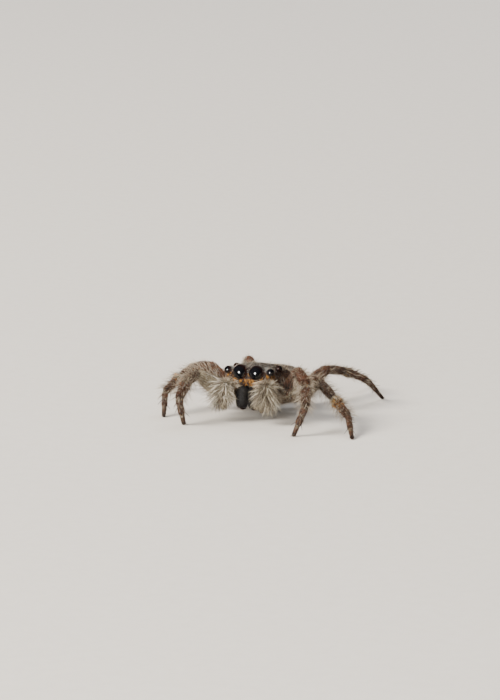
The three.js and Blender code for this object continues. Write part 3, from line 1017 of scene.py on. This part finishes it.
def skin_material():
    """Spider cuticle under its shortest hairs: a dull, pebbled, leathery ground, darkened as
    painted shade of the gaps between hairs.
    """
    material, tree = new_tree("cuticle with close down")
    place = millimetres(tree)
    flakes = node(tree, "ShaderNodeTexVoronoi", {"Vector": place, "Scale": per_mm(0.025)})
    pick = node(tree, "ShaderNodeTexWhiteNoise", {"Vector": flakes.outputs["Position"]})
    pebbles = node(
        tree, "ShaderNodeTexNoise",
        {"Vector": place, "Scale": per_mm(0.03), "Detail": 4.0, "Roughness": 0.7},
    )
    # Painted shade: the cuticle's colour is multiplied down to between 0.12 and 0.5, varying with
    # the pebbles, so the gaps between hairs look deep.
    gap_painted_shade = node(tree, "ShaderNodeMapRange", {0: pebbles, 1: 0.3, 2: 0.7, 3: 0.12, 4: 0.5})
    return shaded(material, {
        "Base Color": node(
            tree, "ShaderNodeMix", {0: 1.0, 6: coat_colour(tree, place, pick), 7: gap_painted_shade},
            blend_type="MULTIPLY", **RGBA,
        ),
        "Roughness": node(
            tree, "ShaderNodeMapRange", {0: pebbles, 1: 0.3, 2: 0.7, 3: 0.75, 4: 0.5}
        ),
        "Normal": node(
            tree, "ShaderNodeBump", {"Height": pebbles, "Strength": 0.8, "Distance": 0.02 * MM}
        ),
        "Specular IOR Level": 0.3,
    })


def coat_material():
    """Scale-like hairs that carry the markings, each one darkened towards its root as painted
    shade deep in the coat.
    """
    material, tree = new_tree("lying body hair")
    place, fleck, shaft = (
        node(tree, "ShaderNodeAttribute", attribute_name=name).outputs[kind]
        for name, kind in (("place", "Vector"), ("fleck", "Fac"), ("shaft", "Fac"))
    )
    # Painted shade near the skin: each hair's colour is multiplied down to 0.6 at its root.
    light = node(tree, "ShaderNodeMapRange", {0: shaft, 1: 0.0, 2: 0.7, 3: 0.6, 4: 1.0})
    return shaded(material, {
        "Base Color": node(
            tree, "ShaderNodeMix", {0: 1.0, 6: coat_colour(tree, place, fleck), 7: light},
            blend_type="MULTIPLY", **RGBA,
        ),
        "Roughness": node(tree, "ShaderNodeMapRange", {0: fleck, 3: 0.42, 4: 0.62}),
    })


def strand_material(name, root, dark, light, root_share=0.35):
    """Long hair of one kind: a shade between two from strand to strand, and a darker root."""
    material, tree = new_tree(name)
    fleck, shaft, shade = (
        node(tree, "ShaderNodeAttribute", attribute_name=name).outputs["Fac"]
        for name in ("fleck", "shaft", "shade")
    )
    root, dark, light = map(srgb, (root, dark, light))
    strand = node(tree, "ShaderNodeMix", {0: fleck, 6: dark, 7: light}, **RGBA)
    # Painted shade: the shade attribute pulls a strand towards the darker colour.
    strand = node(tree, "ShaderNodeMix", {0: shade, 6: strand, 7: dark}, **RGBA)
    # The darker root is partly the hair's own colour and partly painted shade deep in the coat.
    rise = node(tree, "ShaderNodeMapRange", {0: shaft, 1: 0.0, 2: root_share})
    return shaded(material, {
        "Base Color": node(tree, "ShaderNodeMix", {0: rise, 6: root, 7: strand}, **RGBA),
        "Roughness": node(tree, "ShaderNodeMapRange", {0: fleck, 3: 0.38, 4: 0.55}),
    })


def shell_material(name, dark, light, roughness, grain, depth):
    """Hard shell: glossy, with the fine network of cells that cuticle hardens in.

    The real cells are under 0.01 mm wide, and are drawn coarser so that they show.
    """
    material, tree = new_tree(name)
    place = millimetres(tree)
    cells = node(tree, "ShaderNodeTexVoronoi", {"Vector": place, "Scale": per_mm(grain)})
    cloud = node(
        tree, "ShaderNodeTexNoise", {"Vector": place, "Scale": per_mm(grain * 6), "Detail": 4.0}
    )
    return shaded(material, {
        "Base Color": node(
            tree, "ShaderNodeMix", {0: cloud, 6: srgb(dark), 7: srgb(light)}, **RGBA
        ),
        "Roughness": node(
            tree, "ShaderNodeMapRange",
            {0: cloud, 1: 0.3, 2: 0.7, 3: roughness, 4: roughness * 1.6},
        ),
        "Normal": node(
            tree, "ShaderNodeBump", {"Height": cells, "Strength": 0.6, "Distance": depth * MM}
        ),
    })


def lens_material():
    """An eye's lens: wet-looking clear cuticle over black, browner towards its rim."""
    material, tree = new_tree("eye lens")
    rim = node(tree, "ShaderNodeAttribute", attribute_name="rim").outputs["Fac"]
    cloud = node(
        tree, "ShaderNodeTexNoise",
        {"Vector": millimetres(tree), "Scale": per_mm(0.2), "Detail": 2.0},
    )
    return shaded(material, {
        "Base Color": node(
            tree, "ShaderNodeMix", {0: rim, 6: srgb("0f0f12"), 7: srgb("4e291b")}, **RGBA
        ),
        "Roughness": node(tree, "ShaderNodeMapRange", {0: cloud, 3: 0.015, 4: 0.05}),
        "IOR": 1.5,
        "Coat Weight": 1.0,
        "Coat Roughness": 0.02,
    })


CUTICLE = skin_material()
COAT_HAIR = coat_material()
PALP_HAIR = strand_material("fine feeler hair", "2a211c", "56493d", "b1a48e", 0.6)
PALP_STRAND = strand_material("long cream feeler strand", "54473a", "b0a488", "f7efdf")
CHEEK_HAIR = strand_material("pale lower face hair", "855a2c", "b3987a", "ecdcc2", 0.5)
FRINGE_HAIR = strand_material("long pale leg hair", "5a4a3a", "857463", "c9bba6")
BRUSH_HAIR = strand_material("dark sole brush", "1c1512", "2a211b", "4b3d33")
JAW_HAIR = strand_material("sparse jaw hair", "14100e", "241e1a", "5f544a")
JAW_DOWN = strand_material("close black jaw down", "070505", "0f0c0b", "2e2825")
SPINE_SHELL = shell_material("dark brown spine", "1f1310", "43281b", 0.3, 0.02, 0.002)
JAW_SHELL = shell_material("black jaw shell", "060404", "15100d", 0.55, 0.03, 0.002)
FANG_SHELL = shell_material("fang shell", "120705", "33130b", 0.2, 0.02, 0.001)
RIM_SHELL = shell_material("eye rim shell", "0a0504", "1f0e08", 0.35, 0.02, 0.002)
LENS = lens_material()

# ---- hairs --------------------------------------------------------------------------------

HAIR_SIDES = 3
HAIR_FLATNESS = 0.6
TUFT_VARIANTS = 3
SHORT_LEVELS = (0.0, 0.45)
LONG_LEVELS = (0.0, 0.3, 0.58, 0.82)
# Long hairs are drawn up to twice as thick as real ones, so that they show.
TUFT_SHAPES = {
    # name: levels of the rings up a hair, then its half width, bend and sway, three of each
    "short_tuft": (SHORT_LEVELS, (0.075, 0.3, 0), (0.085, 0.16, 0.08), (0.065, 0.42, -0.1)),
    "long_tuft": (LONG_LEVELS, (0.026, 0.2, 0), (0.03, 0.34, 0.12), (0.024, 0.12, -0.16)),
    "spray_tuft": (LONG_LEVELS, (0.019, 0.3, 0.16), (0.022, 0.16, -0.2), (0.017, 0.4, 0)),
    "strand_tuft": (LONG_LEVELS, (0.024, 0.34, 0.2), (0.028, 0.2, -0.22), (0.021, 0.44, 0.05)),
}
PATCH_SIZE = 0.003  # of the bake map, for one tuft
LIMB_CROWD = 1250.0  # lying hairs on each square millimetre of a leg or a feeler


def hair_shape(levels, half_width, bend, sway):
    """A closed tapering hair, one unit long up Z, that bows towards -X as it rises."""
    points, shaft = [], []
    for level in levels:
        taper = min(1.0, 0.55 + 2.2 * level) * (1 - level) ** 0.55
        for side in range(HAIR_SIDES):
            angle = 2 * math.pi * side / HAIR_SIDES
            points.append((
                HAIR_FLATNESS * half_width * taper * math.cos(angle) - bend * level**2,
                half_width * taper * math.sin(angle) + sway * level**2,
                level * (1 - 0.4 * bend * level),
            ))
            shaft.append(level)
    last = len(points) - HAIR_SIDES
    points.append((-bend, sway, 1 - 0.4 * bend))
    shaft.append(1.0)
    faces = [tuple(range(HAIR_SIDES))[::-1], *quads(len(levels), HAIR_SIDES)]
    for side in range(HAIR_SIDES):
        near = (side + 1) % HAIR_SIDES
        faces.append((last + side, last + near, last + HAIR_SIDES))
    return points, faces, np.array(shaft)


def tuft_collection(name, levels, *variants):
    """A collection of tuft variants, each with its patch of the bake map."""
    collection = bpy.data.collections.new(name)
    for number, variant in enumerate(variants):
        points, faces, shaft = hair_shape(levels, *variant)
        tuft = mesh_object(f"{name}_{number}", points, faces)
        set_values(tuft.data, "shaft", shaft)
        patch = []
        for face in faces:
            for count, corner in enumerate(face):
                patch.append((count % 2 + 0.3 * (count // 2 % 2) - 0.5, shaft[corner] - 0.5))
            # The root's end is level, so its last corner is raised to open its patch.
            if np.ptp(shaft[list(face)]) == 0:
                patch[-1] = (0.5, -0.15)
        set_values(tuft.data, "patch", patch, "FLOAT2", "CORNER")
        bpy.context.scene.collection.objects.unlink(tuft)
        collection.objects.link(tuft)
    return collection


SHORT_TUFTS, LONG_TUFTS, SPRAY_TUFTS, STRAND_TUFTS = TUFTS = [
    tuft_collection(name, *shapes) for name, shapes in TUFT_SHAPES.items()
]
COAT_INPUTS = {
    "Skin": "Geometry", "Tufts": "Collection", "Crowd": "Float", "Length": "Float",
    "Lift": "Float", "Disorder": "Float", "Clump": "Float", "Clump Size": "Float",
    "Seed": "Int", "Finish": "Material",
}
# Clump size is in mm: over that distance neighbouring hairs lean the same way.
COAT_DEFAULTS = {"Clump": 0.8, "Clump Size": 0.2, "Lift": 0.0, "Length": 1.0}


def coat_tree():
    """Geometry Nodes that set tufts on a patch of skin, lying the way its coat lies."""
    tree = bpy.data.node_groups.new("tufts on skin", "GeometryNodeTree")
    for name, kind in COAT_INPUTS.items():
        tree.interface.new_socket(name, in_out="INPUT", socket_type=f"NodeSocket{kind}")
    tree.interface.new_socket("Coat", in_out="OUTPUT", socket_type="NodeSocketGeometry")
    given = node(tree, "NodeGroupInput").outputs
    crowd, seed = given["Crowd"], given["Seed"]
    # What an attribute or a random value holds: one number, or three.
    one, three = {"data_type": "FLOAT"}, {"data_type": "FLOAT_VECTOR"}
    density, lift, length, lie, patch, baked = (
        node(tree, "GeometryNodeInputNamedAttribute", {"Name": name}, **numbers)
        for name, numbers in (
            ("density", one), ("lift", one), ("length", one), ("way", three),
            ("patch", three), ("OFBake", three),
        )
    )

    # Roots, spaced evenly, each remembering its place and its own random fleck.
    apart = node(tree, "ShaderNodeMath", {0: crowd, 1: -0.5}, operation="POWER")
    apart = node(tree, "ShaderNodeMath", {0: apart, 1: 0.5}, operation="MULTIPLY")
    roots = node(
        tree, "GeometryNodeDistributePointsOnFaces",
        {"Mesh": given["Skin"], "Distance Min": apart, "Density Max": crowd,
         "Density Factor": density, "Seed": seed},
        distribute_method="POISSON",
    )
    outwards = roots.outputs["Normal"]
    placed = node(
        tree, "GeometryNodeStoreNamedAttribute",
        {"Geometry": roots, "Name": "place", "Value": node(tree, "GeometryNodeInputPosition")},
        **three,
    )
    fleck = node(tree, "FunctionNodeRandomValue", {"Seed": seed}, **one)
    placed = node(
        tree, "GeometryNodeStoreNamedAttribute",
        {"Geometry": placed, "Name": "fleck", "Value": fleck}, **one,
    )

    # The way each tuft points: along the coat, raised, a little astray and in clumps.
    lift = node(tree, "ShaderNodeMath", {0: lift, 1: given["Lift"]}, operation="ADD")
    stray = node(
        tree, "FunctionNodeRandomValue", {0: (-1, -1, -1), 1: (1, 1, 1), "Seed": seed}, **three
    )
    fine = node(tree, "ShaderNodeMath", {0: 1.0, 1: given["Clump Size"]}, operation="DIVIDE")
    drift = node(tree, "ShaderNodeTexNoise", {"Scale": fine}).outputs["Color"]
    drift = node(
        tree, "ShaderNodeVectorMath", {0: drift, 1: (0.5, 0.5, 0.5)}, operation="SUBTRACT"
    )
    way = lie
    for push, strength in ((outwards, lift), (stray, given["Disorder"]), (drift, given["Clump"])):
        push = node(tree, "ShaderNodeVectorMath", {0: push, "Scale": strength}, operation="SCALE")
        way = node(tree, "ShaderNodeVectorMath", {0: way, 1: push}, operation="ADD")
    turned = node(tree, "FunctionNodeAlignRotationToVector", {"Vector": way}, axis="Z")
    turned = node(
        tree, "FunctionNodeAlignRotationToVector",
        {"Rotation": turned, "Vector": outwards}, axis="X", pivot_axis="Z",
    )
    size = node(tree, "FunctionNodeRandomValue", {2: 0.65, 3: 1.1, "Seed": seed}, **one)
    for share in (length, given["Length"]):
        size = node(tree, "ShaderNodeMath", {0: size, 1: share}, operation="MULTIPLY")
    variant = node(
        tree, "FunctionNodeRandomValue", {4: 0, 5: TUFT_VARIANTS - 1, "Seed": seed},
        data_type="INT",
    )
    tufts = node(
        tree, "GeometryNodeCollectionInfo",
        {"Collection": given["Tufts"], "Separate Children": True, "Reset Children": True},
    )
    coat = node(
        tree, "GeometryNodeInstanceOnPoints",
        {"Points": placed, "Instance": tufts, "Pick Instance": True,
         "Instance Index": variant, "Rotation": turned, "Scale": size},
    )
    coat = node(tree, "GeometryNodeRealizeInstances", {0: coat})

    # Each tuft's patch of the bake map lies round its root's place there.
    spot = node(tree, "ShaderNodeVectorMath", {0: patch, "Scale": PATCH_SIZE}, operation="SCALE")
    spot = node(tree, "ShaderNodeVectorMath", {0: baked, 1: spot}, operation="ADD")
    coat = node(
        tree, "GeometryNodeStoreNamedAttribute",
        {"Geometry": coat, "Name": "OFBake", "Value": spot},
        data_type="FLOAT2", domain="CORNER",
    )
    coat = node(tree, "GeometryNodeSetMaterial", {"Geometry": coat, "Material": given["Finish"]})
    node(tree, "NodeGroupOutput", {0: coat})
    return tree


COAT_TREE = coat_tree()


def grow(name, faces, places, values, way, points, material, slot, **settings):
    """Grows a coat on some faces of a surface, and leaves only the coat."""
    used, corners = np.unique(faces, return_inverse=True)
    patch = mesh_object(name, points[used], corners.reshape(faces.shape))
    for key in values:
        set_values(patch.data, key, values[key][used])
    set_values(patch.data, "way", way[used], "FLOAT_VECTOR")
    set_values(patch.data, "OFBake", places, "FLOAT2", "CORNER")
    modifier = patch.modifiers.new("coat", "NODES")
    modifier.node_group = COAT_TREE
    settings = {**COAT_DEFAULTS, "Finish": material, **settings}
    for item in COAT_TREE.interface.items_tree:
        if item.name in settings:
            modifier[item.identifier] = settings[item.name]
    mesh = plain_mesh(patch, name)
    for spent in ("way", "patch", *GROWTH):
        if spent in mesh.attributes:
            mesh.attributes.remove(mesh.attributes[spent])
    mesh.shade_smooth()
    press_on_floor(mesh)
    finished(patch)


# ---- the coat -----------------------------------------------------------------------------


def is_part(*kinds):
    """Which faces of the skin are on parts of these names, or of these owners."""
    names = np.array([part.name for part in PARTS])
    return (np.isin(OWNER, kinds) | np.isin(names, kinds))[FACE_LABEL]


def coat_of(name, chosen, material, slot, seed, growth=None, way=HAIR_WAY, **settings):
    values = {**SKIN_VALUES, **(growth or {})}
    grow(
        name, SKIN_FACES[chosen], BAKE_PLACES[chosen], values, way, SKIN_POINTS,
        material, slot, Seed=seed, **settings,
    )


def cheek_growth():
    """Long hair that lies across the lower face, from under the side eyes to the middle."""
    x, y, z = to_body(SKIN_POINTS).T
    across = ramp(np.abs(x) - 0.07 * (x < 0), 0.42, 0.6) * ramp(y, -1.1, -1.3)
    way = np.stack([-np.sign(x), 0.1 + 0 * x, -0.3 + 0 * x], 1) @ BODY_TURN.T
    growth = {
        "density": across * ramp(z, 0.1, -0.02) * SKIN_VALUES["density"],
        "length": 0.45 + 0.15 * (x > 0),
        "lift": 0.34 + 0.1 * (x > 0),
    }
    return growth, way


def fringe_growth():
    """Long hairs of the legs, thickest under the femur and at the base of the tibia."""
    growth = {key: np.zeros(len(SKIN_POINTS)) for key in GROWTH}
    for index, kind in enumerate(KIND):
        if kind not in LEG_FRINGES:
            continue
        here = LABEL == index
        density, length = LEG_FRINGES[kind]
        lift = 0.9
        if kind == "femur":
            density *= 0.35 + 0.65 * ramp(SKIN_NORMALS[here, 2], 0.3, -0.4)
            density *= 1 - ramp(MARK_VALUES["dark"][here], 0.3, 0.6)
            if OWNER[index][-1] in "34":
                density *= 0.5
        elif kind in ("patella", "tibia") and OWNER[index][-1] in "12":
            density, length, lift = 2.0, 0.46, 1.8
        elif kind == "tibia":
            density *= 0.5 + 0.5 * ramp(ALONG[here], 0.5, 0.2)
        growth["density"][here] = density
        growth["length"][here] = length
        growth["lift"][here] = lift
    return growth


def make_coats():
    flat = {"Tufts": SHORT_TUFTS, "Disorder": 0.25}
    chest = is_part("chest", "sternum", "waist", "mouth_lobe")
    face = chest & (to_body(SKIN_POINTS[SKIN_FACES].mean(1))[:, 1] < FACE_REAR)
    abdomen = is_part("abdomen", "spinneret")
    for seed, name, chosen, crowd in (
        (1, "head", face, 2000.0), (2, "chest", chest & ~face, 1100.0),
        (3, "abdomen", abdomen, 900.0),
    ):
        coat_of(f"coat_{name}", chosen, COAT_HAIR, "grey_coat", seed, Crowd=crowd, **flat)
    long = {"Tufts": LONG_TUFTS, "Disorder": 0.4}
    everywhere = np.ones(len(SKIN_POINTS))
    # The brush is a dark tuft under the tip of each foot.
    brush = {
        "density": (KIND == "tarsus")[LABEL] * ramp(ALONG, 0.68, 0.85),
        "length": 0.1 * everywhere, "lift": 0.45 * everywhere,
    }
    fringe = fringe_growth()
    for number, leg in enumerate(LEGS):
        chosen = is_part(leg)
        coat_of(
            f"coat_leg_{leg}", chosen, COAT_HAIR, "brown_leg_coat", 10 + number,
            Crowd=LIMB_CROWD, **flat,
        )
        coat_of(
            f"fringe_leg_{leg}", chosen, FRINGE_HAIR, "cream_hair", 20 + number, fringe,
            Crowd=200.0, **long,
        )
        coat_of(
            f"brush_leg_{leg}", chosen, BRUSH_HAIR, "brown_leg_coat", 60 + number, brush,
            Tufts=SHORT_TUFTS, Crowd=3000.0, Disorder=0.4,
        )
    fine = {"Clump Size": 0.09}
    for number, side in enumerate(("left", "right")):
        palp = is_part(f"palp_{side}")
        coat_of(
            f"coat_palp_{side}", palp, COAT_HAIR, "brown_leg_coat", 70 + number,
            {"length": 0.18 * everywhere, "lift": 0.6 * everywhere}, Crowd=LIMB_CROWD, **flat,
        )
        coat_of(
            f"hair_palp_{side}", palp, PALP_HAIR, "cream_hair", 30 + number,
            Tufts=SPRAY_TUFTS, Crowd=1200.0, Clump=0.6, Disorder=0.42, **fine,
        )
        coat_of(
            f"strands_palp_{side}", palp, PALP_STRAND, "cream_hair", 80 + number,
            Tufts=STRAND_TUFTS, Crowd=400.0, Length=1.08, Clump=0.8, Disorder=0.6, **fine,
        )
    coat_of(
        "hair_cheeks", face, CHEEK_HAIR, "cream_hair", 35, *cheek_growth(),
        Tufts=SPRAY_TUFTS, Crowd=700.0, Disorder=0.3,
    )
    coat_of(
        "long_hair_head", chest, FRINGE_HAIR, "cream_hair", 40, Crowd=50.0, Length=2.4,
        Lift=0.6, **long,
    )
    coat_of(
        "long_hair_abdomen", abdomen, FRINGE_HAIR, "cream_hair", 41, Crowd=40.0, Length=2.2,
        Lift=0.5, **long,
    )


# ---- eyes, jaws, claws and spines ---------------------------------------------------------

RIM_BACK = 0.06  # of an eye's radius, from its middle back to its rim
JAW_SECTIONS = [
    # share of the way down, half width, half depth, how far forward
    (-0.04, 0.4, 0.4, 0.0), (0.03, 0.72, 0.7, 0.0), (0.14, 0.95, 0.95, 0.02),
    (0.34, 1.02, 1.04, 0.035), (0.6, 1.03, 0.98, 0.03), (0.82, 0.98, 0.86, 0.015),
    (0.95, 0.8, 0.7, 0.0), (1.0, 0.5, 0.45, 0.0),
]
# A fang's root, bend and point, from the tip of its jaw.
FANG_PATH = [(0.05, 0.03, 0.02), (0.0, 0.05, -0.09), (-0.15, 0.14, -0.03)]
FACE_WAY = BODY_TURN @ (0, -1, 0)
# Spines of a leg segment: share along, angle round from the outer side, degrees.
SPINES = {
    "femur": ((0.5, 90), (0.72, 60), (0.76, 120), (0.9, 90)),
    "patella": ((0.55, 20), (0.55, 160)),
    "tibia": ((0.2, 25), (0.25, 155), (0.45, 235), (0.45, 305), (0.75, 235), (0.75, 305)),
    "metatarsus": ((0.2, 240), (0.2, 300), (0.55, 235), (0.55, 305), (0.92, 30), (0.92, 150)),
}


def make_eyes():
    """Eight lenses, browner at the edge and below, each with a thin rim round it."""
    rims = []
    for name, middle, radius, way in eye_places():
        points, faces = ball(middle, radius, LENS_SIDES, LENS_ROWS, axis=way)
        lens = mesh_object(f"lens_{name}", points, faces)
        facing = unit(points - middle)
        rim = ramp(facing @ way, 0.7, 0.1) * (0.5 - 0.3 * facing[:, 2])
        set_values(lens.data, "rim", rim)
        finished(lens, LENS, (f"eye_{name}",))
        side = unit(np.cross(way, (0.2, 0.3, 1)))
        tube = 0.035 * radius + 0.004
        rings = []
        for step in range(RIM_STEPS):
            angle = 2 * math.pi * step / RIM_STEPS
            out = math.cos(angle) * side + math.sin(angle) * np.cross(way, side)
            centre = middle - way * radius * RIM_BACK + out * radius
            rings.append(circle_of(centre, np.cross(out, way), out, tube, RIM_SIDES))
        points = np.vstack(rings)
        rims.append((points, outward(points, quads(RIM_STEPS, RIM_SIDES, closed=True))))
    finished(mesh_object("eye_rims", *joined(rims)), RIM_SHELL)


def jaw_rings(sign):
    """The rings of a jaw from its root to its tip, and the way it points."""
    root, tip = from_body(other_side((JAW_ROOT, JAW_TIP), sign))
    way = unit(tip - root)
    side = BODY_TURN @ (sign, 0, 0)
    fore = np.cross(side, way)
    fore *= np.sign(fore @ FACE_WAY)
    angles = np.linspace(0, 2 * math.pi, JAW_SIDES, endpoint=False)[:, None]
    rings = [
        root + (tip - root) * along + fore * ahead
        + JAW_HALF_WIDTH * wide * np.cos(angles) * side
        + JAW_HALF_DEPTH * deep * np.sin(angles) * fore
        for along, wide, deep, ahead in spline(JAW_SECTIONS, JAW_ROWS)
    ]
    return np.array(rings), way


def curved_horn(path, radius, sides=14, rows=16):
    """A horn that tapers to a point along a smooth curve through three points."""
    start, bend, end = (np.array(place) for place in path)
    rings = []
    side = unit(np.cross(end - start, (0.31, 0.87, 0.4)))
    for row in range(rows):
        t = row / (rows - 0.6)
        centre = (1 - t) ** 2 * start + 2 * t * (1 - t) * bend + t * t * end
        way = unit((1 - t) * (bend - start) + t * (end - bend))
        rings.append(circle_of(centre, way, side, radius * (1 - t) ** 0.7 + 0.002, sides))
    return loft(rings)


def make_jaws():
    for side, sign in (("left", 1), ("right", -1)):
        rings, way = jaw_rings(sign)
        jaw = mesh_object(f"jaw_{side}", *loft(rings))
        finished(jaw, JAW_SHELL, (f"chelicera_{side}",))
        grow_jaw_hair(side, rings, way, 50 + (sign > 0))
        path = from_body(other_side(np.array(JAW_TIP) + FANG_PATH, sign))
        fang = mesh_object(f"fang_shell_{side}", *curved_horn(path, FANG_RADIUS))
        finished(fang, FANG_SHELL, (f"fang_{side}",))


def grow_jaw_hair(side_name, rings, way, seed):
    """Close black down all over a jaw, and a few longer hairs down its front."""
    count, sides = rings.shape[:2]
    points = rings.reshape(-1, 3)
    faces = quads(count, sides)
    spots = [
        [(side, ring), (side + 1, ring), (side + 1, ring + 1), (side, ring + 1)]
        for ring in range(count - 1) for side in range(sides)
    ]
    places = 0.03 + 0.94 * np.array(spots) / (sides, count - 1)
    turned = outward(points, faces)
    if turned is not faces:
        places = places[:, ::-1]
    ahead = points @ FACE_WAY
    front = ramp(ahead, np.median(ahead), ahead.max())
    everywhere = np.ones(len(points))
    marks = {mark: 0 * everywhere for mark in MARKS}
    for name, lift, length, density, material, tufts, crowd in (
        ("down", 0.3, 0.075, everywhere, JAW_DOWN, SHORT_TUFTS, 2200.0),
        ("hair", 0.45, 0.12, 0.3 + 0.7 * front, JAW_HAIR, LONG_TUFTS, 300.0),
    ):
        values = {
            **marks, "lift": lift * everywhere, "length": length * everywhere,
            "density": density,
        }
        grow(
            f"{name}_jaw_{side_name}", np.array(turned), places, values,
            way * everywhere[:, None], points, material, "black_shell",
            Seed=seed, Tufts=tufts, Crowd=crowd, Disorder=0.3,
        )


def make_claws():
    """Two hooked claws at the end of each foot."""
    claws = []
    for joints in JOINTS.values():
        tip = joints[-1]
        out = unit(tip - joints[-2])
        flat = unit(out * (1, 1, 0) + (0, 0, 1e-6))
        side = np.cross(flat, (0, 0, 1))
        for way in (1, -1):
            start = tip + side * way * CLAW_APART
            bend = start + flat * CLAW_REACH * 0.8 + (0, 0, 0.03)
            end = start + flat * CLAW_REACH + (0, 0, 0.01 - tip[2])
            path = (start, bend, end + side * way * CLAW_APART / 2)
            claws.append(curved_horn(path, CLAW_RADIUS, 8, 8))
    finished(mesh_object("claws", *joined(claws)), SPINE_SHELL)


def make_spines():
    """Stout movable spines that stand out of the hair on the legs."""
    shapes = []
    for part, kind in zip(PARTS, KIND):
        for along, degrees in SPINES.get(kind, ()):
            angle = math.radians(degrees)
            out = math.cos(angle) * part.side + math.sin(angle) * part.up
            radius = part.radius * np.interp(along, part.rows[:, 0], part.rows[:, 1])
            root = part.start + part.way * part.length * along + out * radius * 0.8
            way = unit(part.way + 0.75 * out)
            size = PATELLA_SPINE_LENGTH if kind == "patella" else SPINE_LENGTH
            path = (root, root + way * size * 0.5 + out * 0.02, root + way * size)
            shapes.append(curved_horn(path, SPINE_RADIUS, 6, 6))
    finished(mesh_object("leg_spines", *joined(shapes)), SPINE_SHELL)


def make_skin_piece():
    skin = mesh_object("skin", SKIN_POINTS, SKIN_FACES)
    for name, values in MARK_VALUES.items():
        set_values(skin.data, name, values)
    set_values(skin.data, "OFBake", BAKE_PLACES, "FLOAT2", "CORNER")
    gone = ["carapace", "sternum", "pedicel", "abdomen", "spinnerets", "palp_left", "palp_right"]
    gone += [name for name in frame["nodes"] if name.startswith("leg_")]
    finished(skin, CUTICLE, gone)


make_coats()
make_skin_piece()
make_eyes()
make_jaws()
make_claws()
make_spines()
for collection in TUFTS:
    for tuft in list(collection.objects):
        bpy.data.objects.remove(tuft)

# ---- camera, light and floor --------------------------------------------------------------

AZIMUTH, ELEVATION = math.radians(20), math.radians(12)
FOCAL_LENGTH = 200
CAMERA_DISTANCE = 149.6
ACROSS = np.array((math.cos(AZIMUTH), math.sin(AZIMUTH), 0))
BACK = np.array((
    math.sin(AZIMUTH) * math.cos(ELEVATION),
    -math.cos(AZIMUTH) * math.cos(ELEVATION),
    math.sin(ELEVATION),
))
RISE = np.cross(BACK, ACROSS)
EYES_MIDDLE = from_body((0, *EYES["front_middle"][0][1:]))
AIM_ACROSS, AIM_UP = 0.0615, 0.881  # from the middle of the front eyes
AIM = EYES_MIDDLE + AIM_ACROSS * ACROSS + AIM_UP * RISE
LAMPS_AIM = EYES_MIDDLE + (0, 1.5, 0)  # the middle of the whole body
LAMPS = [
    # name, way to it, distance and size in mm, power in watts, colour, lights, mirrored
    ("front lamp", BACK - 0.4 * ACROSS + 0.02 * RISE, 150, 60, 0.2, "fffdf8", True, False),
    ("eye light", BACK - 0.4 * ACROSS + 0.02 * RISE, 140, 62, 0.4, "fffdf8", False, True),
    ("key", BACK - 2.2 * ACROSS + 1.6 * RISE, 300, 180, 2.3, "fffaf2", True, False),
    ("back fill", -BACK + 0.6 * ACROSS + 1.6 * RISE, 300, 220, 0.6, "f2f6ff", True, False),
]
FLOOR_HALF = 900


def aimed(thing, place, target):
    """Puts a camera or light at a place, both in millimetres, looking at another."""
    place, target = Vector(place) * MM, Vector(target) * MM
    thing.location = place
    thing.rotation_mode = "QUATERNION"
    thing.rotation_quaternion = (target - place).to_track_quat("-Z", "Y")
    bpy.context.scene.collection.objects.link(thing)


def make_camera():
    data = bpy.data.cameras.new("camera")
    data.lens = FOCAL_LENGTH
    data.sensor_width = 36
    data.clip_start = 0.001
    camera = bpy.data.objects.new("camera", data)
    aimed(camera, AIM + BACK * CAMERA_DISTANCE, AIM)
    bpy.context.scene.camera = camera


def make_lights():
    """Round soft boxes, of which one shows only as the small light in the eyes."""
    world = bpy.data.worlds.new("studio")
    world.use_nodes = True
    background = world.node_tree.nodes["Background"]
    background.inputs["Color"].default_value = srgb("f1efec")
    background.inputs["Strength"].default_value = 0.48
    world.cycles_visibility.glossy = False
    bpy.context.scene.world = world
    for name, way, distance, size, power, colour, lights, mirrored in LAMPS:
        data = bpy.data.lights.new(name, "AREA")
        data.shape = "DISK"
        data.size = size * MM
        data.energy = power
        data.color = srgb(colour)[:3]
        lamp = bpy.data.objects.new(name, data)
        lamp.visible_diffuse = lights
        lamp.visible_glossy = mirrored
        aimed(lamp, LAMPS_AIM + distance * unit(way), LAMPS_AIM)


def make_floor():
    """A sheet of matt paper with the slight clouding of its pulp."""
    half = FLOOR_HALF
    corners = [(-half, -half, 0), (half, -half, 0), (half, half, 0), (-half, half, 0)]
    floor = mesh_object("floor", corners, [(0, 1, 2, 3)])
    floor.data.transform(TO_METRES)
    material, tree = new_tree("matt studio paper")
    cloud = node(
        tree, "ShaderNodeTexNoise", {"Vector": millimetres(tree), "Scale": per_mm(0.5)}
    )
    low, high = srgb("d4cdc3"), srgb("dcd6cd")
    paper = node(tree, "ShaderNodeMix", {0: cloud, 6: low, 7: high}, **RGBA)
    floor.data.materials.append(shaded(material, {"Base Color": paper, "Roughness": 0.9}))
    floor.visible_glossy = False


make_camera()
make_lights()
make_floor()
